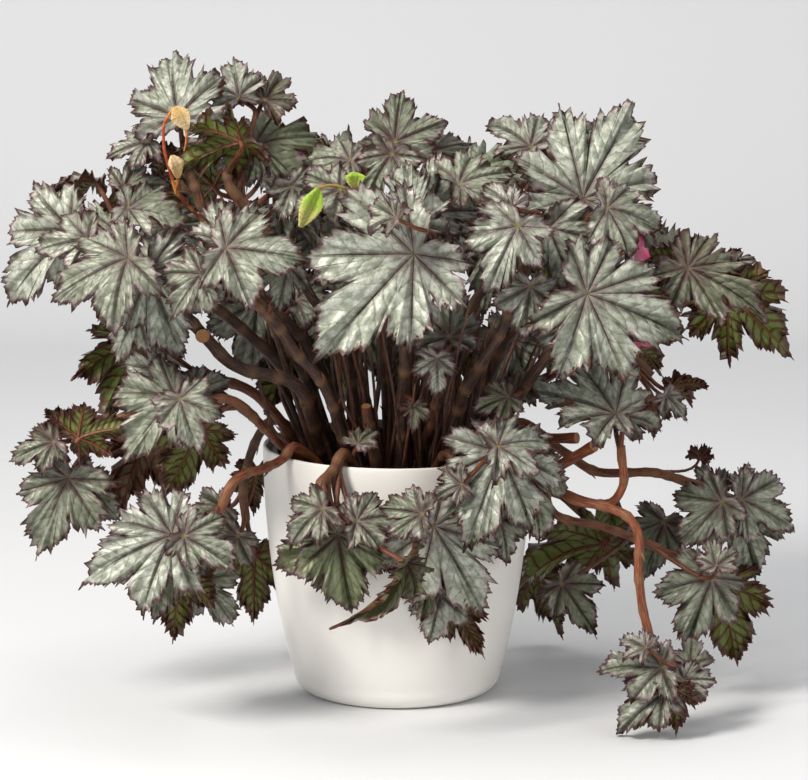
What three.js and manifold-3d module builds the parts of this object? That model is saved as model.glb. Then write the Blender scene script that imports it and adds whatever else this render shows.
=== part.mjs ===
// A rex begonia in a white cover pot: thick stems that stand in a dark nursery pot of soil, arch up
// into a dome of lobed, tooth-edged leaves and hang over the rim on all sides.
// Millimetres, +Z up. The origin is the centre of the cover pot's flat foot, and -Y is the front.
import * as THREE from "three";
import { mergeVertices } from "three/addons/utils/BufferGeometryUtils.js";
import Module from "manifold-3d";

const wasm = await Module();
wasm.setup();

// ---- driving dimensions ----
const RIM_RADIUS = 110; // outside of the cover pot at its rim
const POT_HEIGHT = 205;
const FOOT_RADIUS = 72; // flat part of the foot
const FOOT_CORNER = 14; // how far the wall stands out beyond the foot, over its rounded corner
const CORNER_HEIGHT = 16;
const WALL = 3; // cover pot wall
const FLOOR = 4; // cover pot floor
const GAP = 0.3; // between pieces that touch
const INNER_WALL = 1.2; // nursery pot
const INNER_FLOOR = 2;
const INNER_BASE = 72; // its outside at the foot
const INNER_NECK = 99; // its outside just under the lip
const LIP_RADIUS = 104;
const LIP_TOP = 200;
const LIP_HEIGHT = 9;
const SOIL_TOP = 178;
const ROOT_DEPTH = 26; // how far a stem stands in the soil
const COLLAR = SOIL_TOP + 8; // up to here a stem is upright
const BLADE = 1; // leaf blade thickness
const STALK_RADIUS = 1.9; // leaf stalk, at the blade
const SLIM_STALK = 0.06; // and no more than this share of the leaf's length
const STEM_STEP = 70; // length of a straight stretch of stem
const STEM_TAPER = 0.74;
const NODE_SPACING = 9; // between leaf stalks along a stem
const FIRST_STALK = 3; // the youngest leaf's stalk, back from the stem's tip
const SPRAY_STALK = 1.3; // radius of a seed spray's stalk
const CLEAR = 1.5; // thickness added to a leaf when its room is tested
const STEM_ROOM = 0.4; // kept free round a stem, beyond its radius
const LEAF_ROOM = 0.8; // kept free about a leaf, as thickness added to it
const OWN_SHARE = 0.3; // how much crossing the same shoot's leaves counts, against crossing another's
const NUDGE = 7; // a crowded leaf moves nearer to or further from the front by this step
const MOST_NUDGES = 7;

const { PI, cos, sin, abs, min, max, round, sqrt } = Math;
const DEG = PI / 180;
const vec = (x, y, z) => new THREE.Vector3(x, y, z);

// ---- places ----
// A place is [across, down, forward]: across and down as it shows in the front view, and how far it
// stands in front of the pot's axis, in millimetres. Or it is a vector, as those round the rim are.
const EYE = vec(5.7, -2790, 738);
const PITCH = 9.94 * DEG; // the front view looks down by this much
const FOCAL = 3460;
const VIEW_ACROSS = 404; // the middle of the front view
const VIEW_DOWN = 390;
const AHEAD = vec(0, cos(PITCH), -sin(PITCH));
const RIGHT = vec(1, 0, 0);
const UP = vec(0, sin(PITCH), cos(PITCH));

function seen(across, down, forward) {
  const ray = AHEAD.clone().multiplyScalar(FOCAL);
  ray.addScaledVector(RIGHT, across - VIEW_ACROSS).addScaledVector(UP, VIEW_DOWN - down);
  return EYE.clone().addScaledVector(ray, (-forward - EYE.y) / ray.y);
}

// A place by its bearing from the front, with the right-hand side positive, its radius and its height.
function around(bearing, radius, height) {
  return vec(radius * sin(bearing * DEG), -radius * cos(bearing * DEG), height);
}

// The way that a hanging stem takes over the two rims.
function overRim(bearing) {
  return [around(bearing, 88, 203), around(bearing, 108, 216), around(bearing, 124, 203)];
}

const placeOf = (place) => (Array.isArray(place) ? seen(...place) : place);

// A repeatable random draw between -1 and 1.
function draw(seed) {
  let s = seed * 7919 + 104729;
  return () => {
    s = (s * 16807) % 2147483647;
    return (s / 2147483647) * 2 - 1;
  };
}

// ---- solids ----
function solidOf(geometry) {
  geometry.deleteAttribute("normal");
  geometry.deleteAttribute("uv");
  const merged = mergeVertices(geometry, 1e-3);
  const vertProperties = merged.attributes.position.array;
  const triVerts = new Uint32Array(merged.index.array);
  return new wasm.Manifold(new wasm.Mesh({ numProp: 3, vertProperties, triVerts }));
}

function solidFrom(points, index) {
  const geometry = new THREE.BufferGeometry().setFromPoints(points);
  geometry.setIndex(index);
  return solidOf(geometry);
}

function geometryOf(solid) {
  const mesh = solid.getMesh();
  const geometry = new THREE.BufferGeometry();
  geometry.setAttribute("position", new THREE.BufferAttribute(mesh.vertProperties.slice(), 3));
  geometry.setIndex(new THREE.BufferAttribute(mesh.triVerts.slice(), 1));
  geometry.computeVertexNormals();
  return geometry;
}

// The largest body of a solid, without the scraps that cutting leaves.
function mainBody(solid) {
  return solid.decompose().reduce((a, b) => (b.volume() > a.volume() ? b : a));
}

// The way that a run of points takes at each of them.
function headings(points) {
  const legs = points.slice(1).map((p, i) => p.clone().sub(points[i]).normalize());
  const last = legs.length - 1;
  return points.map((_, i) => legs[max(i - 1, 0)].clone().add(legs[min(i, last)]).normalize());
}

// Rings of points round a run of points. The spokes are those of the first ring, which looks along
// facing, and they turn with the run from there.
function ringsAlong(points, spokes, radii, facing) {
  const ways = headings(points);
  ways[0] = facing;
  let turned = spokes;
  return points.map((p, i) => {
    if (i) {
      const turn = new THREE.Quaternion().setFromUnitVectors(ways[i - 1], ways[i]);
      turned = turned.map((s) => s.clone().applyQuaternion(turn));
    }
    return turned.map((s) => p.clone().addScaledVector(s, radii[i]));
  });
}

// Sides between rings that are listed along the run, each ring anticlockwise seen from its far end.
function sideFaces(rings, sides) {
  const index = [];
  for (let i = 0; i < rings - 1; i++)
    for (let k = 0; k < sides; k++) {
      const a = i * sides + k;
      const b = i * sides + ((k + 1) % sides);
      index.push(a, b, a + sides, b, b + sides, a + sides);
    }
  return index;
}

const FIVE_SIDED = [1, 1, 1, 1, 1];
const THREE_SIDED = [1, 1, 1];
const THREE_WINGED = [1, 0.42, 1, 0.42, 1, 0.42];

// A tube through points. Its section has one corner for each entry of shape, at that share of the radius.
// The first corner lies to the right of the tube, or behind a tube that itself runs to the right.
const ALONG_X = 0.95; // a direction with more than this share along x
function tube(points, radii, shape) {
  const sides = shape.length;
  const way = points[1].clone().sub(points[0]).normalize();
  const first = abs(way.x) > ALONG_X ? vec(0, 1, 0) : vec(1, 0, 0);
  first.addScaledVector(way, -first.dot(way)).normalize();
  const corner = (k) => first.clone().applyAxisAngle(way, (2 * PI * k) / sides);
  const spokes = shape.map((share, k) => corner(k).multiplyScalar(share));
  const rings = ringsAlong(points, spokes, radii, way);
  const index = sideFaces(rings.length, sides);
  const top = (rings.length - 1) * sides;
  for (let k = 1; k < sides - 1; k++) index.push(0, k + 1, k, top, top + k, top + k + 1);
  return solidFrom(rings.flat(), index);
}

// ---- the leaf ----
// Lobes as [angle from the midrib in degrees, length as a share of the main lobe's].
const SEVEN_LOBES = [[-128, 0.46], [-84, 0.58], [-42, 0.7], [0, 1], [43, 0.83], [87, 0.69], [131, 0.56]];
const FIVE_LOBES = [[-106, 0.52], [-52, 0.68], [0, 1], [55, 0.8], [112, 0.62]];
const FOUR_PETALS = [[-126, 0.7], [-38, 1], [38, 1], [126, 0.7]];
const BAY = 0.68; // reach of the bay between lobes, as a share of their mean length
const NOTCH = 0.12; // reach of the notch behind the stalk
const TOOTH_ASIDE = 0.45; // where the tooth beside a tip stands: share of the way to the bay
const TOOTH_REACH = 0.84; // and of the lobe's length
const LAST_BAY = 24 * DEG; // the bay that the teeth beside the notch are set by
const VEIN_FOLD = 0.5; // where a vein has its fold point, as a share of the lobe's length
const FOLD_BASE = 0.3; // how far the veins lie below the blade's mean, in the fold's own measure
// What is drawn for each leaf, as its mean and its spread: turn of a lobe in degrees, length of a lobe,
// the bend of its tip, and how the blade rises from its hub, droops and folds.
const TURN_SPREAD = 4;
const LENGTH_SPREAD = 0.07;
const BEND_SPREAD = 0.1;
const RISE = [0.2, 0.05];
const DROOP = [0.36, 0.12];
const FOLD = [0.1, 0.03];
const BIG = 76; // a leaf this long has seven lobes, toothed on both sides and folded along its veins
const LARGE = 67; // one this long has seven lobes, toothed on one side; smaller ones have five plain lobes

// The form of one leaf, in shares of its length: [angle, reach, bend] of each lobe, and how the blade
// rises from its hub, droops and folds.
function leafForm(length, seed) {
  const next = draw(seed);
  const some = ([mean, spread]) => mean + spread * next();
  const template = length >= LARGE ? SEVEN_LOBES : FIVE_LOBES;
  const lobes = template.map(([angle, share]) => [
    some([angle, TURN_SPREAD]) * DEG,
    share * some([1, LENGTH_SPREAD]),
    some([0, BEND_SPREAD]),
  ]);
  const teeth = length >= BIG ? 2 : length >= LARGE ? 1 : 0;
  return { lobes, teeth, rise: some(RISE), droop: some(DROOP), fold: some(FOLD) };
}

// A point of the blade at an angle and reach; u is 0 on a vein and 1 in a bay.
function bladePoint({ rise, droop, fold }, angle, reach, u, bend) {
  const arch = rise * reach - (droop + bend) * reach * reach;
  return { angle, reach, height: arch + fold * reach * (u * u - FOLD_BASE) };
}

// The outline, from the notch behind the stalk round by the lobes, and the veins' fold points.
function leafPoints(form) {
  const { lobes, teeth } = form;
  const bays = lobes.slice(1).map(([angle, share, bend], i) => {
    const [before, reach, other] = lobes[i];
    return bladePoint(form, (angle + before) / 2, (BAY * (share + reach)) / 2, 1, (bend + other) / 2);
  });
  const notch = bladePoint(form, 180 * DEG, NOTCH, 1, 0);
  const tooth = ([angle, share, bend], bay) =>
    bladePoint(form, angle + (bay - angle) * TOOTH_ASIDE, share * TOOTH_REACH, TOOTH_ASIDE, bend);
  const outline = [notch];
  lobes.forEach((lobe, i) => {
    const [angle, share, bend] = lobe;
    const before = bays[i - 1]?.angle ?? angle - LAST_BAY;
    const after = bays[i]?.angle ?? angle + LAST_BAY;
    if (teeth > 1 || (teeth && angle < 0)) outline.push(tooth(lobe, before));
    outline.push(bladePoint(form, angle, share, 0, bend));
    if (teeth > 1 || (teeth && angle >= 0)) outline.push(tooth(lobe, after));
    if (bays[i]) outline.push(bays[i]);
  });
  const foldPoint = ([angle, share, bend]) => bladePoint(form, angle, share * VEIN_FOLD, 0, bend);
  return { outline, veins: teeth > 1 ? lobes.map(foldPoint) : [] };
}

// Upper faces as numbered points: 0 is the hub, then come the outline and the fold points.
function leafFaces(outline, veins, teeth) {
  const n = outline.length;
  const perLobe = teeth + 2;
  const next = (i) => (i % n) + 1;
  const faces = [];
  for (let i = 1; i <= n; i++) {
    const folded = veins.length > 0 && i > 1 && i < n;
    faces.push([folded ? 1 + n + Math.floor((i - 1) / perLobe) : 0, i, next(i)]);
  }
  veins.forEach((_, lobe) => {
    const vein = 1 + n + lobe;
    const first = lobe ? 1 + lobe * perLobe : 2;
    const last = lobe < veins.length - 1 ? 1 + (lobe + 1) * perLobe : n;
    faces.push([0, first, vein], [0, vein, last]);
  });
  return faces;
}

// A leaf with its stalk as one closed solid. Both faces of the blade are split alike, and the three
// sides of the stalk run straight into the lower one. With no stalk only the blade is made. Thickness
// may be added all round.
const STALK_HEAD = 0.2; // how far below the blade the stalk's last ring lies
const STALK_TAPER = 0.08; // a stalk is thicker by this share at each ring away from the blade
function leafSolid(leaf, hub, stalk, extra = 0) {
  const { form, length, hand, across, along, normal } = leaf;
  const { outline, veins } = leafPoints(form);
  const upper = [{ angle: 0, reach: 0, height: 0 }, ...outline, ...veins];
  const half = (BLADE + extra) / 2;
  const place = ({ angle, reach, height }, lift) =>
    hub.clone()
      .addScaledVector(across, reach * length * sin(angle) * hand)
      .addScaledVector(along, reach * length * cos(angle))
      .addScaledVector(normal, height * length + lift);
  const stalkTop = leaf.stalkRadius + extra / 2;
  const corners = [0, 1, 2].map((k) => -hand * k * 120 * DEG);
  const spoke = (a) => along.clone().multiplyScalar(cos(a)).addScaledVector(across, sin(a) * hand);
  const spokes = corners.map(spoke);
  const run = stalk ?? [hub];
  const end = hub.clone().addScaledVector(normal, -half - STALK_HEAD);
  const radii = [end, ...run].map((_, i) => stalkTop * (1 + STALK_TAPER * i));
  const rings = stalk
    ? ringsAlong([end, ...run.slice().reverse()], spokes, radii, normal.clone().negate()).reverse()
    : [spokes.map((s) => end.clone().addScaledVector(s, stalkTop))];
  const index = sideFaces(rings.length, 3);
  index.push(0, 2, 1);
  const ringTop = (rings.length - 1) * 3;
  const start = rings.length * 3;
  const lower = start + upper.length - 1; // the hub has no lower point: the stalk stands there
  const nearest = (i) => {
    const apart = corners.map((a) => -cos(upper[i].angle - a));
    return ringTop + apart.indexOf(min(...apart));
  };
  const turn = hand > 0 ? ([a, b, c]) => [a, c, b] : (face) => face;
  for (const face of leafFaces(outline, veins, form.teeth)) {
    const [a, p, q] = turn(face);
    index.push(start + a, start + p, start + q);
    if (a) index.push(lower + a, lower + q, lower + p);
    else {
      index.push(lower + q, lower + p, nearest(p));
      if (nearest(p) !== nearest(q)) index.push(lower + q, nearest(p), nearest(q));
    }
  }
  outline.forEach((_, i) => {
    const [, a, b] = turn([0, 1 + i, 1 + ((i + 1) % outline.length)]);
    index.push(start + b, start + a, lower + a, start + b, lower + a, lower + b);
  });
  const faces = [upper.map((p) => place(p, half)), upper.slice(1).map((p) => place(p, -half))];
  return solidFrom([...rings, ...faces].flat(), index);
}

// A leaf of the layout, as [across, down, forward] of its hub, its main lobe's length, the way that its
// tip points in the front view, and the azimuth and elevation that its upper face looks to.
const EDGE_ON = 0.35; // a blade that faces the front less than this keeps its tip's way by turning only
function makeLeaf([across, down, forward, length, tip, azimuth, elevation], seed, form) {
  const level = cos(elevation * DEG);
  const normal = vec(sin(azimuth * DEG) * level, -cos(azimuth * DEG) * level, sin(elevation * DEG));
  const shown = RIGHT.clone().multiplyScalar(cos(tip * DEG)).addScaledVector(UP, sin(tip * DEG));
  const facing = AHEAD.dot(normal);
  const [base, share] = abs(facing) > EDGE_ON ? [AHEAD, 1 / facing] : [normal, 1];
  const along = shown.clone().addScaledVector(base, -shown.dot(normal) * share).normalize();
  return {
    normal,
    along,
    across: new THREE.Vector3().crossVectors(along, normal),
    length,
    hand: seed % 2 ? 1 : -1,
    form: form ?? leafForm(length, seed),
    stalkRadius: min(STALK_RADIUS, length * SLIM_STALK),
    hubAt: (nudge) => seen(across, down, forward + nudge * NUDGE),
  };
}

// The points of a leaf stalk, from its node on the stem up under the blade, which it meets from behind
// its notch. A long or strongly bent stalk has more of them.
const STALK_LEAN = 0.5; // how much it first follows the stem
const STALK_BEND = 0.35; // how far its ends keep their own way, as a share of its length
const STALK_UNDER = 2; // and this much more at the blade
const FROM_BELOW = 0.8;
const FROM_BEHIND = 0.6;
function stalkRun(leaf, hub, from, lean) {
  const reach = from.distanceTo(hub);
  const straight = hub.clone().sub(from).normalize();
  const outward = straight.clone().addScaledVector(lean, STALK_LEAN).normalize();
  const inward = leaf.normal.clone().multiplyScalar(FROM_BELOW).addScaledVector(leaf.along, FROM_BEHIND);
  const bend = new THREE.CubicBezierCurve3(
    from,
    from.clone().addScaledVector(outward, reach * STALK_BEND),
    hub.clone().addScaledVector(inward, -reach * STALK_BEND - STALK_UNDER),
    hub,
  );
  const rising = straight.dot(leaf.normal);
  const forLength = reach < 60 ? 1 : reach < 130 ? 2 : 3;
  const forBend = rising > 0.4 ? 1 : rising > 0 ? 2 : 3;
  const steps = max(forLength, forBend);
  return bend.getPoints(steps).slice(0, steps);
}

// ---- the plant's layout ----
// Each shoot has its root in the soil as [x, y], its radius at the root, the way that its stem takes,
// and its leaves, youngest first. A leaf may end with its stalk's distance back from the stem's tip. A
// stub is a cut side branch: that distance, the place of its end, and its radius.
const SHOOTS = [
  {
    name: "shoot_centre_front", root: [2, -58], radius: 5.5,
    way: [[402, 400, 75], [408, 330, 100], [414, 285, 128]],
    leaves: [
      [414, 254, 165, 100, 225, 0, 14], [411, 226, 140, 62, 98, 0, 38], [428, 214, 126, 58, 72, 14, 34],
      [396, 218, 150, 28, 150, -20, 45], [441, 232, 152, 32, 20, 20, 40], [414, 406, 108, 20, 268, 0, 26, 112],
    ],
  },
  {
    name: "shoot_right_front", root: [38, -50], radius: 5.2,
    way: [[462, 400, 80], [500, 330, 105], [528, 262, 120]],
    leaves: [
      [518, 226, 152, 56, 246, -8, 16], [549, 228, 146, 56, 294, 10, 16], [530, 286, 138, 42, 268, 0, 2],
      [512, 208, 132, 34, 140, -10, 42],
    ],
  },
  {
    name: "shoot_right", root: [61, -18], radius: 5.2,
    way: [[520, 395, 70], [560, 340, 95], [584, 310, 118]],
    leaves: [
      [587, 294, 150, 88, 340, 8, 14], [600, 276, 122, 46, 62, 10, 36], [571, 326, 120, 40, 255, -10, 8],
      [508, 397, 104, 28, 200, 0, 30, 98], [516, 390, 96, 26, 20, 0, 36, 110],
    ],
  },
  {
    name: "shoot_left", root: [-62, -18], radius: 6,
    way: [[300, 390, 62], [243, 369, 74], [214, 347, 82], [178, 306, 96], [158, 284, 104]],
    stubs: [[86, [204, 338, 92], 5.5]],
    leaves: [
      [150, 270, 128, 74, 286, -6, 4], [152, 262, 118, 34, 88, -4, 46], [128, 258, 122, 64, 202, -14, 28],
      [140, 312, 96, 44, 236, -20, 12],
    ],
  },
  {
    name: "shoot_left_inner", root: [-36, -44], radius: 5.2,
    way: [[330, 400, 70], [280, 330, 90], [240, 280, 108]],
    leaves: [
      [224, 243, 136, 52, 42, 0, 42], [226, 248, 146, 60, 352, 0, 26], [224, 268, 142, 46, 196, -10, 26],
      [202, 274, 128, 42, 232, -12, 16], [288, 266, 118, 44, 204, -4, 24],
    ],
  },
  {
    name: "shoot_far_left", root: [-72, 8], radius: 5.4,
    way: [[290, 380, 20], [220, 310, 40], [150, 270, 62], [104, 248, 76]],
    leaves: [
      [72, 231, 96, 74, 222, -18, 18], [64, 220, 82, 40, 122, -20, 42], [88, 240, 108, 40, 190, -10, 24],
      [128, 208, 74, 46, 350, 8, 56], [96, 182, 56, 34, 172, 170, 62], [124, 190, 84, 36, 12, 0, 30],
    ],
  },
  {
    name: "shoot_top_left", root: [-42, 30], radius: 5.2,
    way: [[310, 350, 10], [240, 280, 40], [200, 200, 52], [184, 160, 50]],
    leaves: [[178, 118, 66, 64, 102, -8, 30], [148, 142, 56, 34, 196, -20, 38], [170, 158, 40, 32, 176, 178, 40]],
  },
  {
    name: "shoot_top_left_inner", root: [-18, 4], radius: 5,
    way: [[340, 350, 20], [290, 260, 46], [236, 196, 58], [226, 172, 56]],
    leaves: [
      [241, 142, 62, 60, 196, 172, 42], [254, 146, 50, 64, 12, 4, 52], [239, 97, 34, 40, 98, 0, 32],
      [264, 100, 12, 36, 52, 12, 34], [292, 186, 40, 44, 300, 0, 30],
    ],
  },
  {
    name: "shoot_top_centre", root: [-6, 40], radius: 5,
    way: [[386, 340, -10], [392, 240, 10], [396, 178, 20]],
    leaves: [
      [395, 142, 46, 52, 82, 0, 34], [392, 154, 62, 42, 236, -10, 22], [432, 152, 26, 38, 18, 24, 34],
      [350, 160, 20, 44, 170, -8, 46], [340, 190, 44, 40, 205, -10, 30],
    ],
  },
  {
    name: "shoot_top_right_inner", root: [24, 20], radius: 5,
    way: [[450, 350, 20], [500, 260, 44], [526, 196, 52]],
    leaves: [
      [459, 184, 76, 46, 14, 8, 48], [531, 147, 66, 44, 142, 0, 42], [546, 152, 40, 36, 66, 6, 36],
      [560, 152, 20, 46, 42, 10, 36],
    ],
  },
  {
    name: "shoot_top_right", root: [54, 2], radius: 5.2,
    way: [[500, 350, 34], [556, 280, 66], [580, 232, 76]],
    leaves: [[583, 199, 96, 88, 62, 8, 30], [607, 208, 88, 52, 346, 26, 30], [580, 186, 66, 42, 152, -8, 42]],
  },
  {
    name: "shoot_far_right", root: [78, 10], radius: 4.6,
    way: [[518, 400, -8], [590, 350, 40], [650, 310, 76], [680, 287, 84]],
    leaves: [
      [688, 268, 96, 70, 334, 8, 34], [728, 296, 76, 70, 324, 184, 24], [690, 262, 72, 42, 164, 178, 30],
      [722, 262, 60, 36, 300, 176, 20], [733, 262, 84, 18, 12, 0, 30],
    ],
  },
  {
    name: "shoot_trail_left", root: [-80, -8], radius: 4.8,
    way: [[270, 408, 20], [214, 376, 40], [178, 380, 52], [134, 412, 62], [88, 437, 72]],
    leaves: [
      [54, 442, 92, 36, 200, -16, 26], [78, 438, 70, 44, 20, 186, 18], [68, 478, 96, 64, 246, -10, 10],
      [76, 480, 84, 46, 318, 14, 14], [64, 430, 60, 28, 120, 176, 26],
    ],
  },
  {
    name: "shoot_mid_left", root: [-74, -32], radius: 4.6,
    way: [...overRim(-62).slice(0, 2), [236, 402, 84], [196, 400, 88]],
    leaves: [
      [176, 397, 112, 64, 226, -12, 18], [180, 399, 118, 42, 286, 0, 10], [192, 392, 96, 34, 22, 4, 30],
      [201, 430, 76, 58, 244, 186, 8], [150, 438, 62, 60, 238, 200, 20], [142, 342, 62, 68, 241, 186, 20],
      [160, 372, 84, 42, 218, -14, 20],
    ],
  },
  {
    name: "shoot_hang_left", root: [-62, -50], radius: 4.6,
    way: [...overRim(-50), [236, 480, 130], [212, 526, 138]],
    leaves: [
      [172, 535, 158, 78, 208, -12, 30], [176, 537, 150, 60, 256, -4, 20], [184, 536, 162, 44, 332, 10, 34],
      [180, 572, 124, 46, 262, 180, 4], [198, 580, 134, 46, 312, 20, 10],
    ],
  },
  {
    name: "shoot_behind_left", root: [-76, 24], radius: 4.6,
    way: [...overRim(-112), [244, 480, -40], [246, 520, -50]],
    leaves: [
      [254, 556, -44, 52, 266, 184, 10], [256, 470, -50, 34, 262, 190, 14], [238, 536, -40, 38, 244, -16, 16],
      [224, 508, -44, 38, 196, -14, 30],
    ],
  },
  {
    name: "shoot_front_left", root: [-32, -74], radius: 4.8,
    way: [...overRim(-24), [320, 486, 128], [326, 508, 128]],
    leaves: [
      [323, 509, 142, 38, 216, -14, 30], [354, 518, 140, 24, 82, 0, 34], [357, 521, 148, 40, 6, 10, 26],
      [338, 534, 140, 64, 278, 0, 6], [334, 546, 130, 52, 194, -10, 16], [374, 545, 121, 30, 314, 178, 8],
      [404, 562, 150, 60, 240, 55, 8], [358, 444, 100, 22, 40, 0, 50, 80],
    ],
  },
  {
    name: "shoot_front_mid", root: [26, -78], radius: 4.4,
    way: [...overRim(22), [440, 500, 124]],
    leaves: [
      [434, 526, 146, 74, 300, 6, 12], [422, 514, 140, 36, 166, -20, 28], [430, 566, 128, 44, 262, 4, 4],
      [440, 594, 126, 40, 262, 0, 2], [452, 606, 134, 44, 302, 184, 2],
    ],
  },
  {
    name: "shoot_rim_right", root: [56, -60], radius: 5,
    way: [...overRim(46).slice(0, 2), around(45, 126, 210)],
    leaves: [
      [501, 452, 128, 76, 250, 4, 22], [498, 446, 110, 48, 12, 14, 44], [520, 470, 100, 60, 292, 30, 8],
      [462, 484, 146, 26, 206, -20, 20], [500, 520, 124, 38, 284, 30, 4, 3],
    ],
  },
  {
    name: "shoot_arch_right", root: [76, -30], radius: 4.6,
    way: [...overRim(70), [560, 490, 60], [604, 504, 70], [622, 488, 76], [621, 446, 80]],
    leaves: [[616, 414, 96, 74, 164, -10, 44], [622, 416, 88, 36, 350, 16, 40]],
    stubs: [[112, [594, 446, 84], 4.6], [150, [577, 438, 66], 4.4]],
  },
  {
    name: "shoot_hang_right", root: [66, -46], radius: 4.6,
    way: [
      ...overRim(57), [570, 498, 110], [612, 508, 120], [636, 526, 130], [639, 580, 134], [652, 654, 132],
      [666, 684, 134],
    ],
    leaves: [
      [683, 680, 152, 30, 6, 10, 34], [662, 668, 160, 46, 178, -10, 40, 18], [664, 692, 168, 44, 216, -14, 26, 4],
      [676, 690, 124, 34, 272, 180, 20], [690, 666, 142, 30, 78, 0, 44, 26], [646, 648, 158, 24, 156, -20, 44, 44],
    ],
  },
  {
    name: "shoot_low_right", root: [81, -14], radius: 4.4,
    way: [...overRim(84), [552, 512, 24], [606, 529, 34], [660, 548, 42]],
    leaves: [[712, 578, 62, 56, 246, -6, 16], [722, 584, 34, 64, 284, 180, 8], [716, 566, 50, 28, 98, 0, 44]],
  },
  {
    name: "shoot_mid_right", root: [72, 36], radius: 4.6,
    way: [...overRim(106).slice(0, 2), [592, 470, -10], [651, 472, 6], [704, 487, 16]],
    leaves: [
      [741, 500, 34, 50, 334, 8, 24], [722, 502, 48, 48, 226, -8, 16], [736, 504, 42, 64, 284, 4, 10],
      [742, 488, 24, 26, 74, 0, 36], [720, 490, 24, 30, 136, 0, 30], [700, 458, 0, 18, 60, 170, 30],
    ],
  },
  {
    name: "shoot_back_low_right", root: [46, 68], radius: 4.6,
    way: [...overRim(142), [566, 500, -84], [600, 528, -80]],
    leaves: [
      [606, 545, -94, 78, 192, 182, 34], [534, 578, -88, 48, 300, 182, 24], [562, 584, -34, 44, 308, -4, 30],
      [664, 522, -60, 46, 252, -4, 20, 5],
    ],
  },
  {
    name: "shoot_back_right", root: [60, 30], radius: 4.6,
    way: [[510, 400, -30], [570, 366, -10], [620, 352, 4], [652, 376, 10]],
    leaves: [
      [600, 346, -8, 40, 262, 184, 14], [636, 344, -14, 40, 314, 200, 40], [672, 386, 0, 28, 12, 178, 30],
      [666, 396, 34, 24, 318, 0, 34], [654, 404, -4, 26, 268, 182, 10],
    ],
  },
  {
    name: "shoot_middle", root: [18, -34], radius: 4.6,
    way: [[432, 420, 70], [440, 378, 90]],
    leaves: [[437, 358, 124, 30, 266, 0, 16], [449, 337, 112, 46, 84, 4, 30]],
  },
  {
    name: "shoot_back_far_left", root: [-60, 48], radius: 4.6,
    way: [[276, 350, -70], [200, 280, -80], [150, 244, -74]],
    leaves: [
      [118, 232, -50, 60, 205, -30, 36], [146, 206, -60, 60, 112, 190, 44], [170, 226, 0, 56, 330, 10, 58],
      [142, 262, -84, 62, 250, 186, 16],
    ],
  },
  {
    name: "shoot_back_left", root: [-44, 62], radius: 4.8,
    way: [[320, 320, -90], [262, 230, -104], [236, 198, -104]],
    leaves: [
      [214, 186, -96, 66, 140, 176, 46], [262, 178, -50, 62, 34, 10, 58], [236, 218, -124, 66, 262, 184, 18],
      [280, 206, -20, 60, 330, 10, 50],
    ],
  },
  {
    name: "shoot_back_mid_left", root: [-20, 72], radius: 4.8,
    way: [[350, 320, -100], [326, 230, -120], [316, 190, -124]],
    leaves: [
      [296, 164, -92, 58, 140, 176, 54], [338, 168, -50, 60, 30, 0, 60], [312, 206, -150, 66, 250, 180, 14],
      [318, 232, -30, 60, 292, 0, 40],
    ],
  },
  {
    name: "shoot_back_centre", root: [6, 78], radius: 4.8,
    way: [[416, 320, -110], [440, 230, -130], [446, 186, -134]],
    leaves: [
      [430, 160, -110, 58, 112, 180, 54], [470, 172, -60, 62, 4, 10, 60], [440, 204, -160, 68, 272, 180, 14],
      [462, 232, -30, 58, 300, 0, 40],
    ],
  },
  {
    name: "shoot_back_mid_right", root: [30, 72], radius: 4.8,
    way: [[470, 320, -100], [520, 240, -116], [536, 204, -120]],
    leaves: [
      [514, 186, -110, 56, 130, 182, 52], [552, 186, -50, 60, 16, 10, 60], [540, 226, -140, 66, 284, 176, 16],
      [504, 236, -20, 58, 250, -4, 40],
    ],
  },
  {
    name: "shoot_back_far_right", root: [64, 52], radius: 4.6,
    way: [[528, 350, -66], [600, 290, -84], [634, 262, -84]],
    leaves: [
      [622, 238, -74, 58, 110, 176, 50], [656, 250, -30, 58, 340, 20, 54], [636, 286, -104, 62, 262, 172, 14],
      [604, 304, -50, 56, 250, -4, 24],
    ],
  },
  {
    name: "shoot_low_left", root: [-52, 12], radius: 4.4,
    way: [[306, 380, 4], [276, 330, 14], [266, 310, 18]],
    leaves: [[258, 304, 34, 56, 262, -4, 16], [292, 346, 20, 56, 250, 184, 10], [296, 300, 10, 46, 40, 0, 44]],
  },
  {
    name: "shoot_inner_left", root: [-30, 44], radius: 4.6,
    way: [[350, 380, -60], [336, 340, -74], [330, 322, -76]],
    leaves: [[322, 316, -62, 60, 224, -20, 24], [346, 330, -96, 64, 262, 180, 20], [352, 312, -70, 54, 300, 10, 34]],
  },
  {
    name: "shoot_inner_centre", root: [12, 52], radius: 4.6,
    way: [[414, 380, -70], [426, 350, -86], [430, 330, -90]],
    leaves: [[420, 328, -74, 60, 232, -10, 22], [436, 344, -110, 66, 276, 180, 18]],
  },
  {
    name: "shoot_inner_right", root: [44, 46], radius: 4.6,
    way: [[480, 385, -60], [512, 356, -70], [524, 340, -74]],
    leaves: [[514, 340, -58, 56, 236, -4, 22], [548, 334, -66, 56, 330, 10, 34]],
  },
  { name: "cut_stem_front", root: [41, -69], radius: 6, way: [[456, 450, 76], [476, 438, 86]], leaves: [] },
  { name: "cut_stem_left", root: [-14, -62], radius: 5, way: [[368, 420, 72], [366, 406, 76]], leaves: [] },
];

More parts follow.
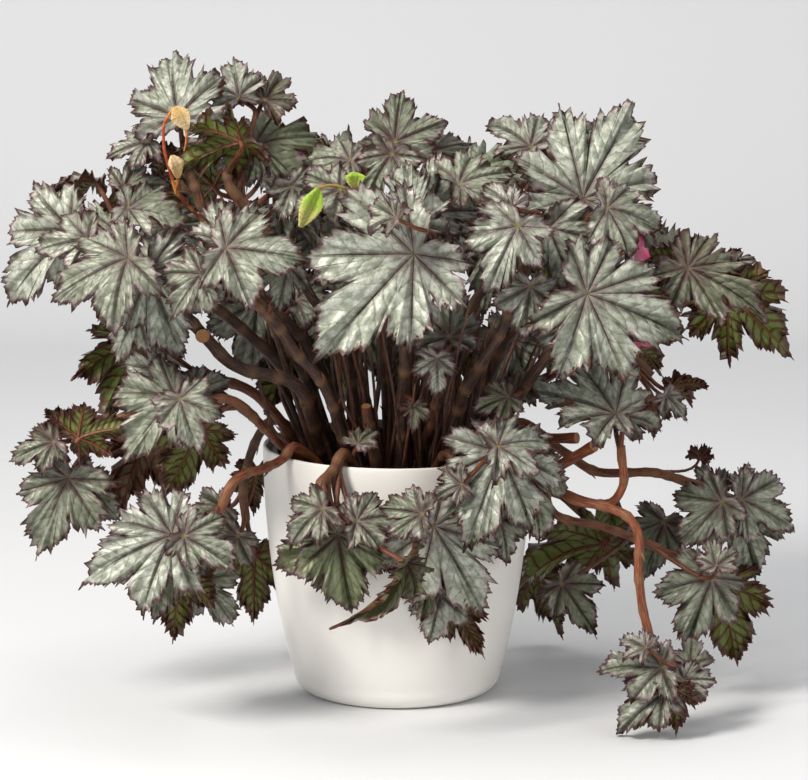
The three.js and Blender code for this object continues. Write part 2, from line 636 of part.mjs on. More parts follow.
// Dry and green seed capsules on their stalk, which leaves a stem at a distance back from its tip. Each
// capsule runs from one place to another.
const SPRAYS = [
  {
    name: "capsules_dry", shoot: "shoot_top_left", from: 70, colour: 0xb98a52,
    ways: [
      [[176, 193, 92], [164, 150, 108], [163, 124, 112], [174, 107, 112]],
      [[176, 193, 92], [178, 178, 108]],
    ],
    capsules: [[[174, 107, 112], [187, 127, 112], 7], [[178, 178, 108], [171, 158, 110], 7]],
  },
  {
    name: "capsules_green", shoot: "shoot_centre_front", from: 34, colour: 0xa8b84a,
    ways: [
      [[396, 246, 132], [376, 214, 138], [358, 192, 138], [332, 184, 140], [318, 188, 142]],
      [[358, 192, 138], [354, 176, 140]],
    ],
    capsules: [[[318, 188, 142], [300, 224, 142], 9], [[354, 176, 140], [350, 206, 140], 6]],
  },
];
// Small pink flowers, each placed as a leaf is.
const FLOWERS = [
  { name: "flower_upper", shoot: "shoot_top_right", row: [632, 252, 110, 15, 20, 10, 20, 6] },
  { name: "flower_lower", shoot: "shoot_right", row: [640, 337, 118, 14, 10, 16, 10, 20] },
];

// ---- pots and soil ----
const POT_SIDES = 28;
const INNER_SIDES = 18;
const BELLY = 0.86; // below 1, the cover pot's belly fills out low down
const RIM_ROUND = 1; // how much the rim's two edges are cut off
const RIM_DROP = 1.5;
const DRAINS = 4;
const DRAIN_RADIUS = 5;
const DRAIN_CIRCLE = 48;
const STEM_HOLE = 0.4; // how much wider a stem's hole in the soil is
const THROUGH = 10; // how far a cutting tool reaches past what it cuts

function turned(profile, sides) {
  const closed = [...profile, profile[0]].map(([r, z]) => new THREE.Vector2(r, z));
  return solidOf(new THREE.LatheGeometry(closed, sides).rotateX(PI / 2));
}

// Outside radius of the cover pot at a height: a full belly over a rounded foot.
function potRadius(z) {
  const shoulder = FOOT_RADIUS + FOOT_CORNER;
  if (z < CORNER_HEIGHT) return FOOT_RADIUS + FOOT_CORNER * sqrt(1 - (1 - z / CORNER_HEIGHT) ** 2);
  const t = (z - CORNER_HEIGHT) / (POT_HEIGHT - CORNER_HEIGHT);
  return shoulder + (RIM_RADIUS - shoulder) * sin((t ** BELLY * PI) / 2);
}

function coverPot() {
  const brow = POT_HEIGHT - RIM_DROP;
  const outside = [2, 7, CORNER_HEIGHT, 45, 80, 120, 165, brow].map((z) => [potRadius(z), z]);
  const rim = [[RIM_RADIUS - RIM_ROUND, POT_HEIGHT], [RIM_RADIUS - WALL + RIM_ROUND, POT_HEIGHT]];
  const inside = [brow, 120, 45, CORNER_HEIGHT].map((z) => [potRadius(z) - WALL, z]);
  const floor = [[FOOT_RADIUS + 2, FLOOR], [0, FLOOR]];
  return turned([[0, 0], [FOOT_RADIUS, 0], ...outside, ...rim, ...inside, ...floor], POT_SIDES);
}

const INNER_FOOT = FLOOR + GAP; // height of the nursery pot's foot
const BED = INNER_FOOT + INNER_FLOOR; // height of its inner floor

// Inside radius of the nursery pot at a height.
function innerRadius(z) {
  return INNER_BASE - INNER_WALL + ((INNER_NECK - INNER_BASE) * (z - BED)) / (LIP_TOP - BED);
}

function nurseryPot() {
  const under = LIP_TOP - LIP_HEIGHT;
  const outside = [[0, INNER_FOOT], [INNER_BASE, INNER_FOOT], [INNER_NECK, under]];
  const lip = [[LIP_RADIUS, under], [LIP_RADIUS, LIP_TOP]];
  const inside = [[innerRadius(LIP_TOP), LIP_TOP], [innerRadius(BED), BED], [0, BED]];
  const pot = turned([...outside, ...lip, ...inside], INNER_SIDES);
  const drains = Array.from({ length: DRAINS }, (_, i) => {
    const at = around((360 * i) / DRAINS, DRAIN_CIRCLE, INNER_FOOT);
    const drain = new THREE.CylinderGeometry(DRAIN_RADIUS, DRAIN_RADIUS, THROUGH, 6).rotateX(PI / 2);
    return solidOf(drain.translate(at.x, at.y, at.z));
  });
  return drains.reduce((a, b) => a.subtract(b), pot);
}

// The soil, with a plain round hole for each stem.
function soil(shoots) {
  const base = BED + GAP;
  const side = [[innerRadius(base) - GAP, base], [innerRadius(SOIL_TOP) - GAP, SOIL_TOP]];
  const body = turned([[0, base], ...side, [0, SOIL_TOP]], INNER_SIDES);
  const height = ROOT_DEPTH + THROUGH;
  const sides = FIVE_SIDED.length;
  const holes = shoots.map(({ root: [x, y], radius }) => {
    const r = (radius + STEM_HOLE) / cos(PI / sides);
    const hole = new THREE.CylinderGeometry(r, r, height, sides).rotateX(PI / 2);
    return solidOf(hole.translate(x, y, SOIL_TOP - ROOT_DEPTH - GAP + height / 2));
  });
  return mainBody(holes.reduce((a, b) => a.subtract(b), body));
}

// ---- growing the plant ----
// The stem's points: upright out of the soil, then on a smooth bend along its way.
function stemRun({ root: [x, y], way }) {
  const stops = [vec(x, y, SOIL_TOP - ROOT_DEPTH), vec(x, y, COLLAR), ...way.map(placeOf)];
  const bend = new THREE.CatmullRomCurve3(stops, false, "catmullrom", 0.5);
  const legs = stops.length - 1;
  const run = [stops[0]];
  for (let i = 1; i < legs; i++) {
    const steps = max(1, round(stops[i].distanceTo(stops[i + 1]) / STEM_STEP));
    for (let k = 0; k < steps; k++) run.push(bend.getPoint((i + k / steps) / legs));
  }
  return [...run, stops[legs]];
}

function stemSolid(run, radius, extra) {
  const last = run.length - 1;
  const radii = run.map((_, i) => radius * (1 - ((1 - STEM_TAPER) * max(0, i - 1)) / last) + extra);
  return tube(run, radii, FIVE_SIDED);
}

// The point at a distance back from the stem's tip, with the stem's way there.
function backFromTip(run, distance) {
  let left = distance;
  for (let i = run.length - 1; i > 1; i--) {
    const leg = run[i].clone().sub(run[i - 1]);
    if (left < leg.length()) {
      const way = leg.clone().normalize();
      return [run[i].clone().addScaledVector(way, -left), way];
    }
    left -= leg.length();
  }
  return [run[1].clone(), vec(0, 0, 1)];
}

// The volume that two solids share.
function shared(a, b) {
  const p = a.boundingBox();
  const q = b.boundingBox();
  for (let i = 0; i < 3; i++) if (p.min[i] > q.max[i] || q.min[i] > p.max[i]) return 0;
  return a.intersect(b).volume();
}

const placed = []; // all that a later leaf keeps clear of, as {owner, stem, solid, room}

function growStem(shoot) {
  const run = stemRun(shoot);
  const stem = stemSolid(run, shoot.radius, 0);
  placed.push({ owner: shoot.name, stem: true, solid: stem, room: stemSolid(run, shoot.radius, STEM_ROOM) });
  const stubs = (shoot.stubs ?? []).map(([back, end, radius]) => {
    const from = backFromTip(run, back)[0];
    return tube([from, seen(...end)], [radius, radius], FIVE_SIDED);
  });
  return { shoot, run, body: stubs.reduce((a, b) => a.add(b), stem) };
}

// Tries a leaf at its own place, then nearer and further, until the leaf and its stalk are clear. What
// still crosses another shoot at the best place is cut off just clear of it.
function growLeaf(grown, row, order, seed) {
  const owner = grown.shoot.name;
  const leaf = makeLeaf(row, seed);
  const [from, lean] = backFromTip(grown.run, row[7] ?? FIRST_STALK + NODE_SPACING * order);
  let best = null;
  for (let k = 0; k <= 2 * MOST_NUDGES; k++) {
    const hub = leaf.hubAt(k % 2 ? (k + 1) / 2 : -k / 2);
    const stalk = stalkRun(leaf, hub, from, lean);
    const whole = leafSolid(leaf, hub, stalk, CLEAR);
    const bare = leafSolid(leaf, hub, null, CLEAR);
    if (whole.boundingBox().min[2] < 1) continue;
    let crossing = 0;
    for (const other of placed) {
      if (other.owner !== owner) crossing += shared(whole, other.solid);
      else crossing += OWN_SHARE * shared(other.stem ? bare : whole, other.solid);
    }
    if (!best || crossing < best.crossing - 1e-3) best = { crossing, hub, stalk };
    if (crossing < 0.01) break;
  }
  let solid = leafSolid(leaf, best.hub, best.stalk);
  for (const other of placed) {
    if (other.owner !== owner && shared(solid, other.room) > 0) solid = solid.subtract(other.room);
  }
  solid = mainBody(solid);
  placed.push({ owner, solid, room: leafSolid(leaf, best.hub, best.stalk, LEAF_ROOM) });
  grown.body = grown.body.add(solid);
}

// Cuts a spray or flower off just clear of all that is placed, its own stem too, and keeps its main body.
function fitted(name, whole) {
  const crossed = placed.filter((other) => shared(whole, other.room) > 0);
  const solid = mainBody(crossed.reduce((rest, other) => rest.subtract(other.room), whole));
  placed.push({ owner: name, solid, room: solid });
  return solid;
}

const runOf = (shoot) => grown.find((one) => one.shoot.name === shoot).run;
const POD_SHAPE = [[0, 1.6], [0.4, null], [1, 1.4]]; // share of its length, and radius: null is its own
function growSpray({ name, shoot, from, ways, capsules }) {
  const start = backFromTip(runOf(shoot), from)[0];
  const stalks = ways.map((way, i) => {
    const points = way.map((p) => seen(...p));
    const run = i ? points : [start, ...points];
    return tube(run, run.map(() => SPRAY_STALK), THREE_SIDED);
  });
  const pods = capsules.map(([top, bottom, radius]) => {
    const [a, b] = [seen(...top), seen(...bottom)];
    return tube(
      POD_SHAPE.map(([share]) => a.clone().lerp(b, share)),
      POD_SHAPE.map(([, r]) => r ?? radius),
      THREE_WINGED,
    );
  });
  return fitted(name, [...stalks, ...pods].reduce((a, b) => a.add(b)));
}

// A flower is made as a leaf is, with four petals that make a cup.
function growFlower({ name, shoot, row }) {
  const lobes = FOUR_PETALS.map(([angle, share]) => [angle * DEG, share, 0]);
  const flower = makeLeaf(row, 1, { lobes, teeth: 1, rise: 0.5, droop: 0.3, fold: 0 });
  const [from, lean] = backFromTip(runOf(shoot), row[7]);
  const hub = flower.hubAt(0);
  return fitted(name, leafSolid(flower, hub, stalkRun(flower, hub, from, lean)));
}

// ---- the object ----
const FOLIAGE = new THREE.MeshStandardMaterial({ color: 0x9aa396, roughness: 0.5 });
const WHITE = new THREE.MeshStandardMaterial({ color: 0xeeece6, roughness: 0.35 });
const BROWN = new THREE.MeshStandardMaterial({ color: 0x2e241c, roughness: 0.6 });
const EARTH = new THREE.MeshStandardMaterial({ color: 0x2a1d14, roughness: 1 });
const PINK = new THREE.MeshStandardMaterial({ color: 0xe0407a, roughness: 0.5 });

const plant = new THREE.Group();
function addPiece(name, solid, material) {
  const mesh = new THREE.Mesh(geometryOf(solid), material);
  mesh.name = name;
  plant.add(mesh);
}

const pot = coverPot();
const inner = nurseryPot();
placed.push({ owner: "cover_pot", solid: pot, room: pot });
placed.push({ owner: "nursery_pot", solid: inner, room: inner });
addPiece("cover_pot", pot, WHITE);
addPiece("nursery_pot", inner, BROWN);
addPiece("soil", soil(SHOOTS), EARTH);

const grown = SHOOTS.map(growStem);
let seed = 1;
for (const one of grown) one.shoot.leaves.forEach((row, order) => growLeaf(one, row, order, seed++));
for (const one of grown) addPiece(one.shoot.name, mainBody(one.body), FOLIAGE);
for (const spray of SPRAYS) {
  addPiece(spray.name, growSpray(spray), new THREE.MeshStandardMaterial({ color: spray.colour }));
}
for (const flower of FLOWERS) addPiece(flower.name, growFlower(flower), PINK);

export default plant;
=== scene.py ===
import math

import bpy
import numpy as np
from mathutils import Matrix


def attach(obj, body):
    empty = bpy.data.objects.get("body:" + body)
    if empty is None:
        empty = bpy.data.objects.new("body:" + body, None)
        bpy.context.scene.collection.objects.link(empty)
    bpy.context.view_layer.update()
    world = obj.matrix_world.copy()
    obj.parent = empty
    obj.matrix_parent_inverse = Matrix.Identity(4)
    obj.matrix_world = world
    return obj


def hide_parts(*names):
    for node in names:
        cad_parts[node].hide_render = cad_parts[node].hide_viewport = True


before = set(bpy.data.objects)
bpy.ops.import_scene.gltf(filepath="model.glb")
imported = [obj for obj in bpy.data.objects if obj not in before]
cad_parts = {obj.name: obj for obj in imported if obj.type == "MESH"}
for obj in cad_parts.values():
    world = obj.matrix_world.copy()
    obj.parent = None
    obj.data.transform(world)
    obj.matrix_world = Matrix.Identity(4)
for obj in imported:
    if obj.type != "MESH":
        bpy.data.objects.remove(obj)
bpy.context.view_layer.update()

# ---- cover pot ----
# A round pot of white plastic with a satin skin, moulded in one: a full belly over a rounded foot, a
# thin rounded rim and a plain inside. It stands on its flat foot and holds the nursery pot.
MM = 0.001
RIM_RADIUS = 110
POT_HEIGHT = 205
FOOT_RADIUS = 72  # of the flat foot
FOOT_CORNER = 14  # how far the wall stands out beyond the foot, over its rounded corner
CORNER_HEIGHT = 16
WALL = 3
FLOOR = 4
FLOOR_CORNER = 4  # from the inside floor's edge to the wall
BELLY = 0.86  # below 1, the belly fills out low down
POT_SIDES = 160
CORNER_RINGS = 10
WALL_RINGS = 60
LIP_RINGS = 9


class Wire:
    """A value in a finish. Sums and products of wires add the Math nodes that work them out."""

    def __init__(self, finish, socket):
        self.finish = finish
        self.socket = socket

    def reckon(self, operation, *values):
        return self.finish.node("Math", {"operation": operation}, dict(enumerate(values)))

    def __add__(self, other):
        return self.reckon("ADD", self, other)

    def __sub__(self, other):
        return self.reckon("SUBTRACT", self, other)

    def __rsub__(self, other):
        return self.reckon("SUBTRACT", other, self)

    def __mul__(self, other):
        return self.reckon("MULTIPLY", self, other)

    def __truediv__(self, other):
        return self.reckon("DIVIDE", self, other)

    def __pow__(self, other):
        return self.reckon("POWER", self, other)

    def __abs__(self):
        return self.reckon("ABSOLUTE", self)

    __radd__ = __add__
    __rmul__ = __mul__

    def most(self, other):
        return self.reckon("MAXIMUM", self, other)

    def fade(self, start, end):
        """1 below start and 0 above end, or the other way round where start is the larger."""
        ends = (start, end, 1.0, 0.0) if start < end else (end, start, 0.0, 1.0)
        settings = {"interpolation_type": "SMOOTHSTEP"}
        values = dict(zip(("Value", "From Min", "From Max", "To Min", "To Max"), (self, *ends)))
        return self.finish.node("MapRange", settings, values)

    def parts(self):
        made = self.finish.node("SeparateXYZ", {}, {0: self}, out=None)
        return [Wire(self.finish, socket) for socket in made.outputs]


class Finish:
    """A material made of nodes round one surface shader."""

    def __init__(self, name, roughness=0.5):
        self.material = bpy.data.materials.new(name)
        self.material.use_nodes = True
        self.tree = self.material.node_tree
        self.skin = self.tree.nodes["Principled BSDF"]
        self.set("Roughness", roughness)

    def feed(self, socket, value):
        if isinstance(value, Wire):
            self.tree.links.new(value.socket, socket)
        else:
            socket.default_value = value

    def set(self, socket, value):
        self.feed(self.skin.inputs[socket], value)

    def node(self, kind, settings, values, out=0):
        """A shader node with its settings and sockets, as the wire from one output, or itself."""
        made = self.tree.nodes.new("ShaderNode" + kind)
        for key, value in settings.items():
            setattr(made, key, value)
        for key, value in values.items():
            self.feed(made.inputs[key], value)
        return made if out is None else Wire(self, made.outputs[out])

    def blend(self, share, first, second):
        """A colour from first to second by a share from 0 to 1."""
        return self.node("Mix", {"data_type": "RGBA"}, {0: share, 6: first, 7: second}, out=2)

    def read(self, name):
        """The three parts of a vector that the mesh carries."""
        return self.node("Attribute", {"attribute_name": name}, {}, out=1).parts()

    def grain(self, size, detail=2.0):
        """Noise from 0 to 1, with blotches of about this many millimetres."""
        values = {"Vector": self.node("NewGeometry", {}, {}), "Scale": 1 / (size * MM), "Detail": detail}
        return self.node("TexNoise", {}, values)

    def relief(self, height, depth):
        """Raises the surface by a height from 0 to 1, times this many millimetres."""
        values = {"Height": height, "Distance": depth * MM, "Strength": 1.0}
        self.set("Normal", self.node("Bump", {}, values))


def colour(red, green, blue):
    """A linear colour from one given in the usual 0 to 255."""
    return tuple(((c / 255 + 0.055) / 1.055) ** 2.4 for c in (red, green, blue)) + (1.0,)


def piece(name, points, faces, finishes, replaced, marks=None, smooth=40):
    """A mesh piece in millimetres. faces are arrays of corner numbers, one for each finish."""
    mesh = bpy.data.meshes.new(name)
    groups = [np.asarray(group) for part in faces for group in part]
    kinds = np.concatenate([np.full(len(g), k) for k, part in enumerate(faces) for g in part])
    sizes = np.concatenate([np.full(len(g), np.shape(g)[1]) for g in groups])
    corners = np.concatenate([g.ravel() for g in groups])
    mesh.vertices.add(len(points))
    mesh.vertices.foreach_set("co", (np.asarray(points) * MM).astype(np.float32).ravel())
    mesh.loops.add(len(corners))
    mesh.loops.foreach_set("vertex_index", corners.astype(np.int32))
    mesh.polygons.add(len(sizes))
    mesh.polygons.foreach_set("loop_start", np.concatenate([[0], np.cumsum(sizes)[:-1]]).astype(np.int32))
    mesh.polygons.foreach_set("material_index", kinds.astype(np.int32))
    mesh.update(calc_edges=True)
    for finish in finishes:
        mesh.materials.append(finish.material)
    for mark, values in (marks or {}).items():
        domain = "POINT" if len(values) == len(points) else "CORNER"
        made = mesh.attributes.new(mark, "FLOAT_VECTOR", domain)
        made.data.foreach_set("vector", np.asarray(values, np.float32).ravel())
    mesh.validate()
    mesh.shade_smooth()
    mesh.set_sharp_from_angle(angle=math.radians(smooth))
    made = bpy.data.objects.new(name, mesh)
    bpy.context.scene.collection.objects.link(made)
    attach(made, "root")
    if replaced:
        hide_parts(*replaced)
    return made


def band(low, high, sides):
    """Faces with four corners between two rings of corners, each ring given by its first number."""
    here = np.arange(sides)
    there = (here + 1) % sides
    return np.stack([low + here, low + there, high + there, high + here], 1)


def fan(middle, ring, sides, up=True):
    """Faces with three corners that close a ring round a middle corner, and look up or down."""
    here = np.arange(sides)
    there = (here + 1) % sides
    first, second = (here, there) if up else (there, here)
    return np.stack([0 * here + middle, ring + first, ring + second], 1)


def turned(profile, sides):
    """Points and faces of a closed profile of (radius, height) turned round the Z axis."""
    profile = np.array(profile, float)
    bearing = np.linspace(0, 2 * math.pi, sides, endpoint=False)
    inner = profile[1:-1]  # the first and last points lie on the axis
    ring = np.stack([np.sin(bearing), -np.cos(bearing), np.zeros(sides)], 1)
    points = [ring * radius + [0, 0, height] for radius, height in inner]
    points = [[[0, 0, profile[0, 1]]], *points, [[0, 0, profile[-1, 1]]]]
    quads = [band(1 + i * sides, 1 + (i + 1) * sides, sides) for i in range(len(inner) - 1)]
    last = 1 + len(inner) * sides
    ends = [fan(0, 1, sides, up=False), fan(last, last - sides, sides)]
    return np.concatenate(points), [np.concatenate(quads), np.concatenate(ends)]


def pot_radius(z):
    """The cover pot's outside at each height."""
    shoulder = FOOT_RADIUS + FOOT_CORNER
    corner = FOOT_RADIUS + FOOT_CORNER * np.sqrt(1 - (1 - np.minimum(z / CORNER_HEIGHT, 1)) ** 2)
    t = np.maximum(z - CORNER_HEIGHT, 0) / (POT_HEIGHT - CORNER_HEIGHT)
    belly = shoulder + (RIM_RADIUS - shoulder) * np.sin(t**BELLY * math.pi / 2)
    return np.where(z < CORNER_HEIGHT, corner, belly)


low = CORNER_HEIGHT * (1 - np.cos(np.linspace(0, math.pi / 2, CORNER_RINGS)))
side = np.linspace(CORNER_HEIGHT, POT_HEIGHT - WALL / 2, WALL_RINGS)[1:]
outside = [(float(pot_radius(z)), z) for z in [*low, *side]]
lip = [
    (RIM_RADIUS - WALL / 2 + WALL / 2 * math.cos(a), POT_HEIGHT - WALL / 2 + WALL / 2 * math.sin(a))
    for a in np.linspace(0, math.pi, LIP_RINGS)[1:-1]
]
inside = [(float(pot_radius(z)) - WALL, z) for z in [*side[::-1], *low[::-1]] if z > FLOOR]
profile = [(0, 0), *outside, *lip, *inside, (FOOT_RADIUS - FLOOR_CORNER, FLOOR), (0, FLOOR)]
white = Finish("white_satin")
dust = white.grain(60, 4.0)
white.set("Base Color", white.blend(dust, colour(243, 240, 234), colour(236, 233, 227)))
white.set("Roughness", 0.34 + 0.08 * white.grain(9))
white.relief(white.grain(14, 1.0), 0.05)
points, faces = turned(profile, POT_SIDES)
piece("white_cover_pot", points, [faces], [white], ["cover_pot"])

# ---- nursery pot ----
# The dark brown, thin-walled plastic pot that the plant grew up in. It stands loose in the cover pot,
# with four drain holes in its floor and a turned-out lip just under the cover pot's rim.
GAP = 0.3  # between pieces that touch
INNER_WALL = 1.2
INNER_FOOT = FLOOR + GAP
BED = INNER_FOOT + 2  # the top of its floor
INNER_BASE = 72  # its outside at the foot
INNER_NECK = 99  # its outside just under the lip
LIP_RADIUS = 104
LIP_TOP = 200
LIP_UNDER = 191
LIP_ROUNDING = 0.6
INNER_SIDES = 96
DRAINS = 4
DRAIN_RADIUS = 5
DRAIN_CIRCLE = 48  # how far out the drain holes stand
DRAIN_SIDES = 24


def around(bearing, radius, height):
    """A place at a bearing in degrees, from the front round to the right."""
    turn = math.radians(bearing)
    return np.array([radius * math.sin(turn), -radius * math.cos(turn), height])


def inner_radius(z):
    """The nursery pot's inside at a height."""
    return INNER_BASE - INNER_WALL + (INNER_NECK - INNER_BASE) * (z - BED) / (LIP_TOP - BED)


profile = [
    (0, INNER_FOOT), (INNER_BASE - 1, INNER_FOOT), (INNER_BASE, INNER_FOOT + 1),
    (INNER_NECK - 0.4, LIP_UNDER - 2), (INNER_NECK, LIP_UNDER), (LIP_RADIUS - LIP_ROUNDING, LIP_UNDER),
    (LIP_RADIUS, LIP_UNDER + LIP_ROUNDING), (LIP_RADIUS, LIP_TOP - 2 * LIP_ROUNDING),
    (LIP_RADIUS - 2 * LIP_ROUNDING, LIP_TOP), (inner_radius(LIP_TOP) + 1, LIP_TOP),
    (inner_radius(LIP_TOP - 1), LIP_TOP - 1), (inner_radius(BED + 1), BED + 1),
    (inner_radius(BED) - 1, BED), (0, BED),
]
points, faces = turned(profile, INNER_SIDES)
brown = Finish("dark_brown_plastic", 0.45)
brown.set("Base Color", brown.blend(brown.grain(12), colour(34, 25, 19), colour(48, 36, 28)))
brown.relief(brown.grain(3), 0.05)
nursery = piece("brown_nursery_pot", points, [faces], [brown], ["nursery_pot"])
for i in range(DRAINS):
    at = around(360 * i / DRAINS, DRAIN_CIRCLE, INNER_FOOT)
    points, faces = turned([(0, -3), (DRAIN_RADIUS, -3), (DRAIN_RADIUS, 6), (0, 6)], DRAIN_SIDES)
    drill = piece("drill", points + at, [faces], [brown], [])
    hole = nursery.modifiers.new("drain", "BOOLEAN")
    hole.operation = "DIFFERENCE"
    hole.object = drill
    cut = nursery.evaluated_get(bpy.context.evaluated_depsgraph_get())
    drilled = bpy.data.meshes.new_from_object(cut)
    nursery.modifiers.clear()
    nursery.data = drilled
    bpy.data.objects.remove(drill)

# ---- soil ----
# Dark potting mix that fills the nursery pot to a little under its lip: a lumpy crust with bark chips
# on it. The stems stand in it.
SOIL_TOP = 178
SOIL_SIDES = 200
CRUST_RINGS = 64
LUMPS = [(1.6, 14), (0.9, 5), (0.5, 2.6)]  # height and size of the crust's lumps
CHIPS = 420
NOISE_WAVES = 24


def lumps(points, size, seed):
    """Smooth noise from about -1 to 1 at each point, with lumps of this many millimetres."""
    chance = np.random.default_rng(seed)
    total = np.zeros(len(points))
    for _ in range(NOISE_WAVES):
        way = chance.normal(size=3)
        way *= chance.uniform(0.6, 1.6) / size / np.linalg.norm(way)
        total += np.sin(points @ way * 2 * math.pi + chance.uniform(0, 2 * math.pi))
    return total / math.sqrt(NOISE_WAVES)


crust = [(0, BED + GAP), (inner_radius(BED + GAP) - GAP, BED + GAP)]
crust += [(inner_radius(z) - GAP, z) for z in np.linspace(40, SOIL_TOP - 3, 8)]
crust += [(r, SOIL_TOP) for r in np.linspace(inner_radius(SOIL_TOP) - GAP - 2, 1.5, CRUST_RINGS)]
points, faces = turned([*crust, (0, SOIL_TOP)], SOIL_SIDES)
top = points[:, 2] > SOIL_TOP - 1
rise = [height * lumps(points[top], size, k) for k, (height, size) in enumerate(LUMPS, 1)]
points[top, 2] += sum(rise) - 1
chance = np.random.default_rng(11)
corners = np.array([[x, y, z] for x in (-1, 1) for y in (-1, 1) for z in (-1, 1)], float)
sides = np.array([[0, 1, 3, 2], [4, 6, 7, 5], [0, 4, 5, 1], [2, 3, 7, 6], [0, 2, 6, 4], [1, 5, 7, 3]])
chips, chip_faces = [], []
for _ in range(CHIPS):
    radius = (inner_radius(SOIL_TOP) - 6) * math.sqrt(chance.uniform(0, 1))
    at = around(chance.uniform(0, 360), radius, SOIL_TOP + chance.uniform(-0.6, 1.4))
    half = np.array([chance.uniform(0.8, 4.2), chance.uniform(0.6, 2.2), chance.uniform(0.4, 1.1)])
    tilt, _ = np.linalg.qr(chance.normal(size=(3, 3)) * [1, 1, 0.35] + np.diag([0, 0, 1.2]))
    chip_faces.append(sides + len(points) + 8 * len(chips))
    chips.append(at + (corners * half * chance.uniform(0.7, 1, (8, 3))) @ tilt.T)
points = np.concatenate([points, *chips])
earth = Finish("potting_mix", 0.95)
crumbs = earth.grain(1.2, 6.0)
earth.set("Base Color", earth.blend(crumbs.fade(0.72, 0.4), colour(58, 42, 30), colour(22, 15, 11)))
earth.relief(crumbs + 0.6 * earth.grain(3.5), 1.2)
bark = Finish("bark_chips", 0.85)
bark.set("Base Color", bark.blend(bark.grain(5, 5.0), colour(38, 24, 16), colour(104, 72, 48)))
bark.relief(bark.grain(0.8, 4.0), 0.4)
piece("crumbly_soil", points, [faces, chip_faces], [earth, bark], ["soil"])

# ---- layout of the plant ----
# Where each shoot stands in the soil, its stem's way, and its leaves, youngest first. A place is across
# and down in the front view, in pixels, and forward of the pot's axis in millimetres. A leaf has a place,
# its length, its tip's angle, where its face looks, and perhaps how far back its stalk stands.
EYE = np.array([5.7, -2790, 738])  # where the front view is seen from
PITCH = math.radians(9.94)  # how far it looks down
FOCAL = 3460  # its focal length, in its pixels
VIEW_ACROSS = 404  # its middle
VIEW_DOWN = 390
AHEAD = np.array([0, math.cos(PITCH), -math.sin(PITCH)])
RIGHT = np.array([1.0, 0, 0])
UP = np.array([0, math.sin(PITCH), math.cos(PITCH)])
ROOT_DEPTH = 26  # how far a stem stands in the soil
COLLAR = SOIL_TOP + 8  # up to here a stem is upright
STEM_STEP = 70  # length of a straight stretch of stem in the layout
STEM_TAPER = 0.74
NODE_SPACING = 9  # between leaf stalks along a stem
FIRST_STALK = 3  # the youngest leaf's stalk, back from the stem's tip
STALK_RADIUS = 1.9
NUDGE = 7  # a leaf that was in the way stands this far from its place, or a few times as far
MOST_NUDGES = 7


def seen(across, down, forward):
    """The point that shows at a place of the front view, this far in front of the pot's axis."""
    ray = AHEAD * FOCAL + RIGHT * (across - VIEW_ACROSS) + UP * (VIEW_DOWN - down)
    return EYE + ray * ((-forward - EYE[1]) / ray[1])


def over_rim(bearing):
    """The way that a hanging stem takes over the two rims."""
    return [around(bearing, 88, 203), around(bearing, 108, 216), around(bearing, 124, 203)]


